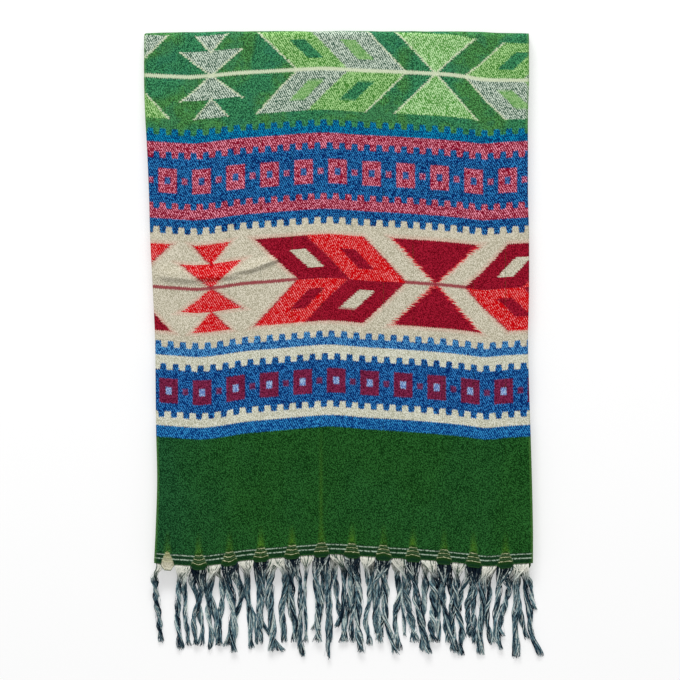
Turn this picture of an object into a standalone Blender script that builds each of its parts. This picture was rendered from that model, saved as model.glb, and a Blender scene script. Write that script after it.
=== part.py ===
"""A woven shawl with a fringe, folded into a flat pack of eight layers and lying on a surface.

The cloth was folded once along its length, which left its long fold at -X, and twice across, which
left its top fold at +Y. The hems and their fringe lie at -Y. Sizes are in millimetres: across from
the middle of the pack, down from the top fold, and up from the surface.
"""

import math

import bmesh
import bpy
from mathutils import Vector

MM = 0.001

WALL = 1.5
LAYER = 1.5
HIDDEN_LAYERS = 7
SEAM_GAP = 0.3
STACK = HIDDEN_LAYERS * LAYER
PANEL_TOP = STACK + SEAM_GAP + WALL

# The top fold is a half round as thick as the pack, and the long fold doubles one layer on itself.
TOP_ROLL = PANEL_TOP / 2
TOP_ROLL_END = -35.0
TOP_ROLL_STEPS = 5
SIDE_CURL = 1.75
SIDE_CURL_STEPS = 4
SIDE_TUCK = 8.0
SIDE_RISE = 0.8
SIDE_RISE_WIDTH = 16.0
CORNER_DROOP = 3.0
CORNER_DROOP_LENGTH = 40.0

# The two sides of the pack, as seen from above.
SIDES = (
    # down, left, right
    (5, -196, 189),
    (54, -196, 189),
    (84, -195, 188),
    (119, -193, 188),
    (166, -191, 188),
    (204, -190, 189),
    (264, -187, 189),
    (309, -185, 188),
    (354, -184.5, 189),
    (399, -184, 190.5),
    (449, -183, 192),
    (499, -184.5, 193),
    (529, -186, 193),
)

# The woven rows arch: each row's dip is this share of the depth that its place in the cloth gives.
ROW_DIPS = (
    # share of the width, dip
    (0.00, 0.76),
    (0.08, 0.94),
    (0.12, 1.00),
    (0.17, 0.85),
    (0.24, 0.53),
    (0.32, 0.33),
    (0.40, 0.12),
    (0.47, 0.00),
    (0.56, 0.20),
    (0.66, 0.38),
    (0.77, 0.63),
    (0.83, 0.82),
    (0.88, 1.00),
    (0.94, 0.86),
    (1.00, 0.76),
)
ROW_DEPTHS = (
    # down at the crest, depth
    (TOP_ROLL, 0.0),
    (14, 3.5),
    (36, 8.5),
    (103, 11.0),
    (246, 12.0),
    (396, 13.0),
    (523, 12.0),
)

# Rows of points down the panel, closer together at the crease and at the hem.
PANEL_ROWS = (16, 36, 80, 130, 180, 216, 230, 238, 248, 270, 330, 400, 450, 480, 500, 512)
HEM = 523

# Each gather of the hem, where the bars woven above it draw the cloth in.
GATHERS = (
    # across, dip below the hem
    (-172.5, 7.5),
    (-141, 4.0),
    (-110.5, 3.5),
    (-79, 3.5),
    (-48, 3.0),
    (-18.5, 3.5),
    (12, 3.5),
    (43.5, 4.0),
    (73, 3.5),
    (104, 4.0),
    (133.5, 4.0),
    (165.5, 4.5),
)
GATHER_HALF_WIDTH = 7.0
GATHER_DRAW = 14.0
GATHER_RISE = 1.3
GATHER_FLARE = 45.0
GATHER_COLUMNS = (-6.5, -2.5, 2.5, 6.5, 15.2)
GATHER_SIDE_CLEAR = 3.0

# Creases that stand up from the panel, each a soft ridge between two ends.
RIDGES = (
    # from across, from down, to across, to down, half width, height
    (-190, 246, -112, 244, 7, 1.3),
    (-116, 244, -84, 238, 6, 2.2),
    (-86, 238, -60, 229, 5, 2.0),
    (-192, 136, -136, 133, 5, 0.8),
    (-8, 128, 182, 136, 5, 0.9),
    (70, 157, 180, 160, 5, 0.7),
    (-19, 408, -19, 512, 5, 1.1),
    (96, 396, 104, 470, 6, 0.8),
    (-150, 300, -120, 380, 9, 0.7),
)

# The edges of the hidden layers, from the bottom layer up, as steps in from the pack's own edge.
LAYER_STEPS = (
    # step at the long fold, step at the selvedges, step at the hems
    (0.9, 1.2, 1.8),
    (0.9, 2.4, 1.8),
    (2.0, 1.6, 1.8),
    (2.0, 3.0, 1.8),
    (1.2, 2.0, 1.4),
    (1.2, 1.0, 2.2),
    (SIDE_TUCK + 2 * SIDE_CURL, 2.6, 1.6),
)
FOLD_LAYERS = 4
FOLD_PEEK = 9.0
FOLD_PEEK_SHARE = 0.05
GROOVE = 0.8
LAYER_SHOULDERS = (0.0, 0.35, 1.15)
TOP_LIP = 2.4
TOP_LIP_ROUND = 3.1
TUCK_CLEAR = 2.0
CORNER_RADIUS = 5.0
CORNER_STEPS = 3
SIDE_STATIONS = 8
END_STATIONS = 24

# The fringe: two strips of fused roots, each with its loose hanks.
STRIP = 2.0
STRIP_INSET = 1.0
BACK_STRIP_UP = 6.9
BACK_STRIP_GAP = 0.5
HANK_HEIGHT = 1.6
HANK_TIP = 0.65
HANK_ROOT_INSET = 0.9
HANK_LAST_RUN = 6.0
HANK_SIDE_CLEAR = 1.0
HANK_END_CLEAR = 2.0
# Hanks of both strips pass these distances below the hem at these heights, so they cross clear.
HANK_FALLS = (
    # below the hem, front height, back height
    (0, 10.8, 7.0),
    (8, 10.4, 6.8),
    (16, 7.8, 4.8),
    (25, 4.4, 2.0),
    (36, 2.6, 0.4),
)
HANK_REST = 0.4
HANK_SHARES = (0.0, 0.15, 0.4, 0.7, 1.0)
HANKS = (
    # strip, across at 0, 0.15, 0.4, 0.7 and all of its length, down at the tip, width
    ("front", -177.0, -186.0, -184.4, -181.5, -180.4, 613.5, 5.2),
    ("front", -162.0, -161.0, -162.0, -162.5, -160.3, 621.5, 5.2),
    ("front", -154.0, -155.0, -155.7, -154.7, -151.3, 617.7, 4.5),
    ("back", -149.5, -152.2, -144.0, -139.0, -139.6, 617.0, 4.5),
    ("front", -142.5, -141.0, -140.1, -146.7, -144.3, 616.2, 4.8),
    ("back", -135.5, -135.3, -133.3, -130.1, -130.4, 620.7, 4.5),
    ("front", -131.0, -129.0, -130.7, -123.4, -121.9, 617.0, 6.0),
    ("back", -127.0, -119.5, -117.6, -121.1, -121.1, 616.2, 5.0),
    ("front", -116.0, -114.5, -108.2, -107.6, -106.2, 623.7, 6.7),
    ("back", -103.0, -100.0, -99.0, -106.5, -114.5, 617.5, 6.0),
    ("front", -89.0, -91.0, -94.0, -85.5, -83.0, 615.9, 4.4),
    ("back", -94.0, -93.5, -92.6, -90.0, -89.6, 620.6, 4.5),
    ("back", -82.5, -82.5, -82.1, -77.0, -57.0, 623.0, 4.5),
    ("front", -77.0, -77.5, -77.0, -79.5, -78.4, 615.0, 4.0),
    ("front", -69.5, -70.5, -70.6, -68.4, -67.3, 623.0, 7.0),
    ("front", -57.0, -53.5, -56.0, -58.0, -56.1, 613.5, 6.0),
    ("front", -46.7, -47.3, -49.0, -45.5, -45.7, 613.5, 4.5),
    ("back", -51.0, -51.5, -52.8, -45.5, -37.0, 627.8, 4.5),
    ("front", -32.0, -34.2, -35.0, -34.6, -34.4, 613.5, 3.4),
    ("front", -41.5, -41.0, -39.8, -39.7, -39.2, 621.0, 4.3),
    ("front", -23.5, -24.2, -23.4, -21.4, -22.3, 613.5, 6.0),
    ("back", -19.5, -18.0, -17.0, -18.5, -28.2, 601.5, 5.0),
    ("front", -14.0, -14.0, -13.3, -11.6, -11.9, 630.2, 4.5),
    ("back", -10.0, -10.5, -10.2, -10.0, -9.9, 614.3, 4.0),
    ("back", -4.0, -5.0, -4.5, 1.0, 6.3, 613.5, 4.5),
    ("front", 1.0, 3.0, 5.0, 3.0, -4.0, 599.0, 4.0),
    ("front", 7.0, 9.0, 10.8, 6.5, 2.8, 613.5, 5.0),
    ("front", 15.0, 17.8, 19.6, 17.4, 21.7, 624.2, 6.0),
    ("back", 12.0, 13.0, 14.0, 12.5, 11.5, 613.5, 4.5),
    ("front", 26.0, 26.3, 29.5, 26.8, 28.5, 616.7, 5.0),
    ("front", 36.0, 35.7, 36.5, 38.0, 39.3, 614.3, 6.0),
    ("back", 31.0, 31.5, 33.0, 35.0, 36.5, 606.3, 4.0),
    ("front", 43.0, 43.0, 46.0, 47.0, 56.4, 625.4, 5.0),
    ("back", 44.0, 43.5, 44.5, 43.0, 41.2, 609.0, 4.0),
    ("back", 56.5, 57.2, 58.6, 55.6, 58.8, 622.2, 5.0),
    ("front", 62.5, 62.8, 63.5, 63.3, 65.2, 607.9, 3.2),
    ("back", 68.0, 67.8, 67.0, 71.0, 74.7, 614.3, 6.5),
    ("front", 72.0, 73.5, 76.8, 81.5, 89.9, 625.4, 5.5),
    ("back", 85.0, 85.8, 84.3, 83.0, 82.7, 623.0, 5.0),
    ("front", 94.0, 94.2, 94.6, 92.6, 94.0, 613.5, 6.5),
    ("back", 100.5, 100.6, 99.4, 98.0, 99.8, 613.5, 4.0),
    ("front", 105.0, 103.2, 101.5, 109.5, 113.8, 623.8, 4.5),
    ("back", 107.0, 106.0, 104.2, 105.2, 108.8, 614.3, 3.8),
    ("back", 112.5, 112.3, 112.6, 113.2, 114.6, 623.0, 6.0),
    ("front", 118.0, 117.3, 116.0, 121.5, 122.0, 627.0, 5.0),
    ("back", 125.5, 126.0, 124.5, 120.8, 119.0, 583.5, 4.5),
    ("back", 133.0, 132.7, 131.5, 128.0, 129.5, 609.0, 5.0),
    ("front", 137.5, 135.8, 134.4, 134.0, 135.0, 615.1, 4.4),
    ("front", 143.0, 143.0, 142.8, 140.7, 141.8, 626.2, 6.0),
    ("back", 149.0, 148.0, 149.8, 147.0, 153.8, 615.9, 5.0),
    ("front", 157.0, 158.3, 158.6, 155.3, 161.8, 620.6, 5.5),
    ("back", 168.0, 169.3, 169.4, 161.8, 161.5, 609.0, 6.0),
    ("front", 175.0, 174.5, 177.0, 176.2, 176.1, 629.4, 6.0),
    ("back", 180.5, 179.5, 178.3, 181.8, 188.1, 610.3, 4.0),
    ("front", 186.0, 185.5, 188.2, 191.5, 200.8, 627.8, 5.0),
    ("back", 188.5, 189.0, 190.0, 193.0, 196.1, 581.6, 3.5),
)


def smooth_through(rows, place, column):
    """The value at a place of a smooth curve through one column of a table sorted by its first column."""
    if place <= rows[0][0]:
        return rows[0][column]
    if place >= rows[-1][0]:
        return rows[-1][column]
    above = next(i for i, row in enumerate(rows) if row[0] > place)
    here, there = rows[above - 1], rows[above]
    before, after = rows[max(above - 2, 0)], rows[min(above + 1, len(rows) - 1)]
    span = there[0] - here[0]
    slope_here = (there[column] - before[column]) / (there[0] - before[0])
    slope_there = (after[column] - here[column]) / (after[0] - here[0])
    t = (place - here[0]) / span
    return (
        (2 * t**3 - 3 * t**2 + 1) * here[column]
        + (t**3 - 2 * t**2 + t) * span * slope_here
        + (3 * t**2 - 2 * t**3) * there[column]
        + (t**3 - t**2) * span * slope_there
    )


def straight_through(rows, place, column):
    """The value at a place of straight lines through one column of a table."""
    for here, there in zip(rows, rows[1:]):
        if place <= there[0]:
            t = max(0.0, (place - here[0]) / (there[0] - here[0]))
            return here[column] + t * (there[column] - here[column])
    return rows[-1][column]


def soft_step(t):
    t = min(max(t, 0.0), 1.0)
    return t * t * (3 - 2 * t)


def left_side(down):
    return smooth_through(SIDES, down, 1)


def right_side(down):
    return smooth_through(SIDES, down, 2)


def row_down(share, crest_down):
    """How far down a woven row lies at a share of the width."""
    arch = smooth_through(ROW_DEPTHS, crest_down, 1) * smooth_through(ROW_DIPS, share, 1)
    droop = CORNER_DROOP * (2 * share - 1) ** 4 * max(0.0, 1 - crest_down / CORNER_DROOP_LENGTH)
    return crest_down + arch + droop


def share_of(across, down):
    left, right = left_side(down), right_side(down)
    return min(max((across - left) / (right - left), 0.0), 1.0)


def hem_down(across):
    """The hem's own arch, without its gathers."""
    return row_down(share_of(across, HEM), HEM)


def nearest_gather(across):
    return min(GATHERS, key=lambda gather: abs(across - gather[0]))


def gather_share(across):
    """How much of a gather there is at a place across: 1 in its middle and 0 past its sides."""
    apart = abs(across - nearest_gather(across)[0])
    return 0.5 + 0.5 * math.cos(math.pi * min(apart / GATHER_HALF_WIDTH, 1.0))


def gather_dip(across, crest_down):
    drawn = soft_step(1 - (HEM - crest_down) / GATHER_DRAW)
    return nearest_gather(across)[1] * gather_share(across) * drawn


def ridge_height(ridge, across, down):
    """A ridge is round across its line and fades out towards its two ends."""
    start, end = Vector(ridge[0:2]), Vector(ridge[2:4])
    half_width, height = ridge[4:6]
    run = end - start
    along = (Vector((across, down)) - start).dot(run) / run.length_squared
    nearest = start + min(max(along, 0.0), 1.0) * run
    reach = (Vector((across, down)) - nearest).length / half_width
    return height * math.exp(-reach * reach)


def relief(across, down):
    """How far the panel stands up from the layers under it."""
    height = max(ridge_height(ridge, across, down) for ridge in RIDGES)
    below = down - hem_down(across)
    flare = soft_step(1 + below / GATHER_FLARE)
    height += GATHER_RISE * gather_share(across) * flare * flare
    fold = soft_step(1 - (across - left_side(down)) / SIDE_RISE_WIDTH)
    return height * (1 - fold) + SIDE_RISE * fold


def place(across, down, up):
    return Vector((across, -down, up)) * MM


def gather_columns():
    """Places across the hem that follow each gather, clear of the pack's two sides."""
    places = [gather[0] + step for gather in GATHERS for step in GATHER_COLUMNS]
    left, right = left_side(HEM) + GATHER_SIDE_CLEAR, right_side(HEM) - GATHER_SIDE_CLEAR
    return [across for across in places if left < across < right]


def panel_columns():
    """The panel's columns: the tucked-under edge, the curl of the long fold, then shares of the width."""
    curl = [90 * (2 * i / SIDE_CURL_STEPS - 1) for i in range(SIDE_CURL_STEPS)]
    flat = [left_side(HEM) + SIDE_CURL] + gather_columns() + [right_side(hem_down(right_side(HEM)))]
    shares = [share_of(across, hem_down(across)) for across in flat]
    return [("tuck", None)] + [("curl", angle) for angle in curl] + [("flat", share) for share in shares]


def panel_rows():
    """The panel's rows: angles round the top fold, then distances down to the hem."""
    roll = [TOP_ROLL_END + (90 - TOP_ROLL_END) * i / TOP_ROLL_STEPS for i in range(TOP_ROLL_STEPS)]
    rows = [("roll", math.radians(angle)) for angle in roll] + [("flat", TOP_ROLL)]
    return rows + [("flat", down) for down in PANEL_ROWS] + [("flat", HEM)]


def panel_point(column, row, inside):
    """A point of the panel: inside is 0 on its outer face and 1 on its inner one."""
    kind, value = column
    crest_down = TOP_ROLL if row[0] == "roll" else row[1]
    share = value if kind == "flat" else 0.0
    down = row_down(share, crest_down)
    left = left_side(down)
    if kind == "flat":
        across = max(left + SIDE_CURL, left + share * (right_side(down) - left))
        depth = WALL * inside
        down += gather_dip(across, crest_down)
    else:
        angle = math.radians(-90 if kind == "tuck" else value)
        radius = SIDE_CURL - WALL * inside
        across = left + SIDE_CURL - radius * math.cos(angle) + (SIDE_TUCK if kind == "tuck" else 0)
        depth = SIDE_CURL - radius * math.sin(angle)
    depth -= relief(max(across, left), down) if kind == "flat" else SIDE_RISE
    if row[0] == "flat":
        return place(across, down, PANEL_TOP - depth)
    radius = TOP_ROLL - depth
    return place(across, down - radius * math.cos(row[1]), TOP_ROLL + radius * math.sin(row[1]))


def sheet_wall(bm, columns, rows, point_at):
    """A wall of cloth: a grid of points extruded once, each point placed by its column, row and face."""
    bmesh.ops.create_grid(bm, x_segments=len(columns) - 1, y_segments=len(rows) - 1, size=0.5)
    column_of = bm.verts.layers.int.new("column")
    row_of = bm.verts.layers.int.new("row")
    for vert in bm.verts:
        vert[column_of] = round((vert.co.x + 0.5) * (len(columns) - 1))
        vert[row_of] = round((0.5 - vert.co.y) * (len(rows) - 1))
    extruded = bmesh.ops.extrude_face_region(bm, geom=bm.faces[:])["geom"]
    inner = {part for part in extruded if isinstance(part, bmesh.types.BMVert)}
    for vert in bm.verts:
        vert.co = point_at(columns[vert[column_of]], rows[vert[row_of]], 1 if vert in inner else 0)
    bmesh.ops.recalc_face_normals(bm, faces=bm.faces[:])


def ring_stack(bm, sides, rings, point_at):
    """A closed solid of rings with flat ends: a disc extruded once for each further ring."""
    verts = bmesh.ops.create_circle(bm, cap_ends=True, segments=sides, radius=1)["verts"]
    order = {vert: index for index, vert in enumerate(verts)}
    cap = verts[0].link_faces[0]
    for ring in range(rings):
        if ring:
            extruded = bmesh.ops.extrude_face_region(bm, geom=[cap])["geom"]
            if ring > 1:
                bmesh.ops.delete(bm, geom=[cap], context="FACES_ONLY")
            cap = next(part for part in extruded if isinstance(part, bmesh.types.BMFace))
            fresh = [part for part in extruded if isinstance(part, bmesh.types.BMVert)]
            order = {vert: order[twin_below(vert, order)] for vert in fresh}
        for vert, side in order.items():
            vert.co = Vector(point_at(side, ring))


def twin_below(vert, order):
    """The vertex of the ring below that a freshly extruded vertex stands on."""
    return next(edge.other_vert(vert) for edge in vert.link_edges if edge.other_vert(vert) in order)


def finish(name, bm, material):
    bmesh.ops.recalc_face_normals(bm, faces=bm.faces[:])
    mesh = bpy.data.meshes.new(name)
    bm.to_mesh(mesh)
    bm.free()
    mesh.materials.append(material)
    mesh.shade_smooth()
    mesh.set_sharp_from_angle(angle=math.radians(50))
    obj = bpy.data.objects.new(name, mesh)
    bpy.context.collection.objects.link(obj)
    return obj


def plain_material(name, colour, roughness):
    material = bpy.data.materials.new(name)
    material.use_nodes = True
    shader = material.node_tree.nodes["Principled BSDF"]
    shader.inputs["Base Color"].default_value = (*colour, 1.0)
    shader.inputs["Roughness"].default_value = roughness
    shader.inputs["Metallic"].default_value = 0.0
    return material


def build_front_panel(material):
    bm = bmesh.new()
    sheet_wall(bm, panel_columns(), panel_rows(), panel_point)
    return finish("front_panel", bm, material)


def outline_stations():
    """Places round the pack: shares across and down, and how far a rounded corner draws each in."""
    stations = []
    sides = (((0, 1), (0, 0)), ((0, 0), (1, 0)), ((1, 0), (1, 1)), ((1, 1), (0, 1)))
    for (from_a, from_d), (to_a, to_d) in sides:
        count = SIDE_STATIONS if from_a == to_a else END_STATIONS
        for i in range(1, count):
            t = i / count
            stations.append((from_a + t * (to_a - from_a), from_d + t * (to_d - from_d), 0, 0))
        for i in range(CORNER_STEPS + 1):
            turn = math.radians(90 * i / CORNER_STEPS)
            along, beside = CORNER_RADIUS * (1 - math.sin(turn)), CORNER_RADIUS * (1 - math.cos(turn))
            in_across, in_down = (beside, along) if from_a == to_a else (along, beside)
            stations.append((to_a, to_d, in_across * (1 - 2 * to_a), in_down * (1 - 2 * to_d)))
    return stations


def layer_edge(layer, shoulder, column):
    """The step in of one layer's edge, deeper in the groove that parts it from the layer below."""
    grooved = LAYER_SHOULDERS[shoulder] == 0.0
    paired = column == 0 and layer % 2 == 1
    return LAYER_STEPS[layer][column] + (GROOVE if grooved and not paired and layer else 0.0)


def hem_edge(layer, shoulder, share):
    """The step in at the hems: single hems over the middle fold, which shows past them at one end."""
    if layer >= FOLD_LAYERS:
        return layer_edge(layer, shoulder, 2)
    radius = FOLD_LAYERS * LAYER / 2
    offset = layer * LAYER + LAYER_SHOULDERS[shoulder] - radius
    peek = FOLD_PEEK * soft_step(1 - (1 - share) / FOLD_PEEK_SHARE)
    return LAYER_STEPS[layer][2] - peek + radius - math.sqrt(max(radius * radius - offset * offset, 0.0))


def top_edge(up, share):
    """The step in at the top fold: a lip under the roll, then the round that the roll wraps."""
    if up < LAYER:
        return TOP_LIP + TOP_LIP_ROUND * (1 - up / LAYER) ** 2
    wrapped = (right_side(0) - left_side(0)) * share < SIDE_TUCK + 2 * SIDE_CURL + TUCK_CLEAR
    radius = TOP_ROLL - WALL - SEAM_GAP
    if wrapped or abs(up - TOP_ROLL) >= radius:
        return TOP_ROLL + SEAM_GAP
    return TOP_ROLL - math.sqrt(radius * radius - (up - TOP_ROLL) ** 2)


def folded_point(station, ring):
    share, drop, in_across, in_down = station
    layer, shoulder = min(divmod(ring, len(LAYER_SHOULDERS)), (HIDDEN_LAYERS - 1, 2))
    up = STACK if ring == HIDDEN_LAYERS * len(LAYER_SHOULDERS) else layer * LAYER + LAYER_SHOULDERS[shoulder]
    crest_down = drop * HEM
    top = row_down(share, TOP_ROLL) - TOP_ROLL + top_edge(up, share)
    bottom = row_down(share, HEM) - hem_edge(layer, shoulder, share)
    down = top + drop * (bottom - top) + in_down
    level = row_down(share, crest_down)
    left = left_side(level) + layer_edge(layer, shoulder, 0)
    right = right_side(level) - layer_edge(layer, shoulder, 1)
    return place(left + share * (right - left) + in_across, down, up)


def build_folded_layers(material):
    bm = bmesh.new()
    stations = outline_stations()
    rings = HIDDEN_LAYERS * len(LAYER_SHOULDERS) + 1
    ring_stack(bm, len(stations), rings, lambda side, ring: folded_point(stations[side], ring))
    return finish("folded_layers", bm, material)


def strip_point(strip, column, row, inside):
    """A point of a strip of fused roots, a seam's gap past the edge that it belongs to."""
    across = column
    if strip == "front":
        down = hem_down(across) + gather_dip(across, HEM)
        return place(across, down + SEAM_GAP + STRIP * row, PANEL_TOP + relief(across, down) - WALL * inside)
    down = hem_down(across) - min(steps[2] for steps in LAYER_STEPS[FOLD_LAYERS:])
    return place(across, down + BACK_STRIP_GAP + STRIP * row, BACK_STRIP_UP + WALL * (1 - inside))


def hank_across(hank, share):
    rows = list(zip(HANK_SHARES, hank[1:6]))
    return smooth_through(rows, share, 1)


def hank_at(hank, below):
    """Where a hank lies, across, at a distance below the hem."""
    length = hank[6] - hem_down(hank[5])
    return hank_across(hank, below / length)


def hank_tip_height(hank, stops):
    """A front hank's tip comes down to the surface where no hank of the back strip lies under its end."""
    if hank[0] == "back":
        return HANK_FALLS[-1][2]
    for other in (other for other in HANKS if other[0] == "back"):
        reach = other[6] - hem_down(other[5]) + HANK_END_CLEAR
        clear = (hank[7] + other[7]) / 2 + HANK_SIDE_CLEAR
        for below in range(round(stops[-2]), round(stops[-1]) + 1):
            if below <= reach and abs(hank_at(hank, below) - hank_at(other, below)) < clear:
                return HANK_FALLS[-1][1]
    return HANK_REST


def hank_root_inset(hank, across):
    """How far below the hem a hank starts, inside its strip."""
    if hank[0] == "back":
        return HANK_ROOT_INSET
    half = hank[7] / 2
    return HANK_ROOT_INSET + max(gather_dip(across + step, HEM) for step in (-half, 0, half))


def hank_root_height(hank, across):
    if hank[0] == "back":
        return BACK_STRIP_UP
    return PANEL_TOP - WALL + relief(across, hem_down(across))


def hank_rings(hank):
    """The rings of one hank: across, down, height and width of each."""
    length = hank[6] - hem_down(hank[5])
    falls = [row[0] for row in HANK_FALLS if row[0] < length - HANK_LAST_RUN]
    stops = falls + [(falls[-1] + length) / 2, length]
    tip_height = hank_tip_height(hank, stops)
    column = 1 if hank[0] == "front" else 2
    rings = []
    for below in stops:
        across = hank_across(hank, below / length)
        height = tip_height if below == length else straight_through(HANK_FALLS, below, column)
        width = hank[7] * (1 - (1 - HANK_TIP) * soft_step(below / length))
        down = hem_down(across) + below
        if not below:
            down += hank_root_inset(hank, across)
            height = hank_root_height(hank, across)
        rings.append((across, hank[6] if below == length else down, height, width))
    return rings


def hank_point(rings, side, ring):
    """A hank is three-sided: flat below, with its ridge on top."""
    across, down, height, width = rings[ring]
    before, after = rings[max(ring - 1, 0)], rings[min(ring + 1, len(rings) - 1)]
    along = Vector((after[0] - before[0], after[1] - before[1])).normalized()
    beside = Vector((along.y, -along.x)) * (width / 2)
    corners = ((beside.x, beside.y, 0.0), (0.0, 0.0, HANK_HEIGHT), (-beside.x, -beside.y, 0.0))
    shift_across, shift_down, shift_up = corners[side]
    return place(across + shift_across, down + shift_down, height + shift_up)


def build_fringe(strip, material):
    bm = bmesh.new()
    hanks = [hank for hank in HANKS if hank[0] == strip]
    left, right = left_side(HEM) + SIDE_CURL + STRIP_INSET, right_side(HEM) - STRIP_INSET
    columns = [left] + gather_columns() + [right]
    sheet_wall(bm, columns, (0, 1), lambda column, row, inside: strip_point(strip, column, row, inside))
    fringe = finish(f"fringe_{strip}", bm, material)

    bm = bmesh.new()
    for hank in hanks:
        rings = hank_rings(hank)
        ring_stack(bm, 3, len(rings), lambda side, ring, rings=rings: hank_point(rings, side, ring))
    loose = finish(f"fringe_{strip}_hanks", bm, material)
    loose.hide_render = True
    loose.display_type = "WIRE"
    join = fringe.modifiers.new("join_hanks", "BOOLEAN")
    join.operation = "UNION"
    join.object = loose
    return [fringe, loose]


def centre_on_footprint(objects):
    """Moves every piece together, so that the middle of the pack's footprint is the origin."""
    corners = [vert.co for obj in objects for vert in obj.data.vertices]
    middle = Vector(
        (
            (min(c.x for c in corners) + max(c.x for c in corners)) / 2,
            (min(c.y for c in corners) + max(c.y for c in corners)) / 2,
            0.0,
        )
    )
    for obj in objects:
        for vert in obj.data.vertices:
            vert.co -= middle


def main():
    for obj in list(bpy.data.objects):
        bpy.data.objects.remove(obj)
    cloth = plain_material("brushed_cloth", (0.10, 0.20, 0.13), 0.9)
    layers = plain_material("folded_cloth", (0.30, 0.27, 0.20), 0.9)
    yarn = plain_material("fringe_yarn", (0.08, 0.14, 0.17), 0.8)
    objects = [build_front_panel(cloth), build_folded_layers(layers)]
    objects += build_fringe("front", yarn) + build_fringe("back", yarn)
    centre_on_footprint(objects)


main()
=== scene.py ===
"""The looks of a woven, fringed shawl that lies folded into a flat pack of eight layers.

Sizes of the cloth are in millimetres: across from the middle of the pack, down from the top fold, and
up from the surface. The woven pattern is worked out on the cloth's own coordinates: threads across it,
and rows counted down the cloth from the top fold along its curve.
"""

import math

import bmesh
import bpy
import numpy as np
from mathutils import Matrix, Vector


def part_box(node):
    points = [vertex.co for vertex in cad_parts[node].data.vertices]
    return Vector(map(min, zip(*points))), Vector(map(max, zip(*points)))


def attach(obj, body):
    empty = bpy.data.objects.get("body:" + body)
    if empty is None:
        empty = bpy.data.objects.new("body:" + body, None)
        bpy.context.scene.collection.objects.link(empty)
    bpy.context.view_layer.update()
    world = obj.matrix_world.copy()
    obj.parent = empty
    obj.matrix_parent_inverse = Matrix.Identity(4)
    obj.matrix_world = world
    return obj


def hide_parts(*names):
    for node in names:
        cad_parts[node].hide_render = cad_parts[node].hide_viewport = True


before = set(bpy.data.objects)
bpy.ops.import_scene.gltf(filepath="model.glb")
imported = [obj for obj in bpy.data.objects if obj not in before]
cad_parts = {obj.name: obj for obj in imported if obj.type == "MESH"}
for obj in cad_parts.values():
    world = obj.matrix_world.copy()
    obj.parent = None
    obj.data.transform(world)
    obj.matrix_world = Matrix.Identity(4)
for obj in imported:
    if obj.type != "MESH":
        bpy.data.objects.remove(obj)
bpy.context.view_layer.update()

panel_low, panel_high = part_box("front_panel")

MM = 0.001

# The pack, as it is cut in the frame.
WALL = 1.5
LAYER = 1.5
HIDDEN_LAYERS = 7
SEAM_GAP = 0.3
STACK = HIDDEN_LAYERS * LAYER
PANEL_TOP = STACK + SEAM_GAP + WALL
TOP_ROLL = PANEL_TOP / 2
TOP_ROLL_END = -35.0
SIDE_CURL = 1.75
SIDE_TUCK = 8.0
SIDE_RISE = 0.8
SIDE_RISE_WIDTH = 16.0
CORNER_DROOP = 3.0
CORNER_DROOP_LENGTH = 40.0
HEM = 523.0

SIDES = (
    # down, left, right
    (5, -196, 189),
    (54, -196, 189),
    (84, -195, 188),
    (119, -193, 188),
    (166, -191, 188),
    (204, -190, 189),
    (264, -187, 189),
    (309, -185, 188),
    (354, -184.5, 189),
    (399, -184, 190.5),
    (449, -183, 192),
    (499, -184.5, 193),
    (529, -186, 193),
)
ROW_DIPS = (
    # share of the width, dip
    (0.00, 0.76),
    (0.08, 0.94),
    (0.12, 1.00),
    (0.17, 0.85),
    (0.24, 0.53),
    (0.32, 0.33),
    (0.40, 0.12),
    (0.47, 0.00),
    (0.56, 0.20),
    (0.66, 0.38),
    (0.77, 0.63),
    (0.83, 0.82),
    (0.88, 1.00),
    (0.94, 0.86),
    (1.00, 0.76),
)
ROW_DEPTHS = (
    # down at the crest, depth
    (TOP_ROLL, 0.0),
    (14, 3.5),
    (36, 8.5),
    (103, 11.0),
    (246, 12.0),
    (396, 13.0),
    (523, 12.0),
)
# The threads themselves keep their arch up to the top fold, which cuts straight across them.
THREAD_DEPTHS = ((-20, 7.2),) + ROW_DEPTHS[2:]
# Near the selvedges they sag below it in the first rows.
SAG = 9.0
SAG_SHARE = 0.22
SAG_ROWS = 95.0

GATHERS = (
    # across, dip below the hem, rise of the bars in its middle, half width of its tab
    (-172.5, 6.4, -0.5, 6.6),
    (-141, 4.0, -1.8, 8.0),
    (-110.5, 3.5, -2.2, 8.0),
    (-79, 3.0, -1.4, 8.0),
    (-48, 2.6, -1.0, 7.6),
    (-18.5, 3.0, 0.2, 7.6),
    (12, 3.0, 0.4, 7.8),
    (43.5, 3.2, 1.8, 8.0),
    (73, 3.0, 1.6, 7.8),
    (104, 3.2, 1.4, 8.0),
    (133.5, 3.0, 0.2, 8.0),
    (165.5, 3.6, 0.2, 8.0),
)
GATHER_HALF_WIDTH = 7.0
GATHER_DRAW = 14.0
TAB_SIDE = 2.4
GATHER_RISE = 1.3
GATHER_FLARE = 45.0
ARCH_FROM = 505.0
ARCH_ROWS = 14.0

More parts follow.
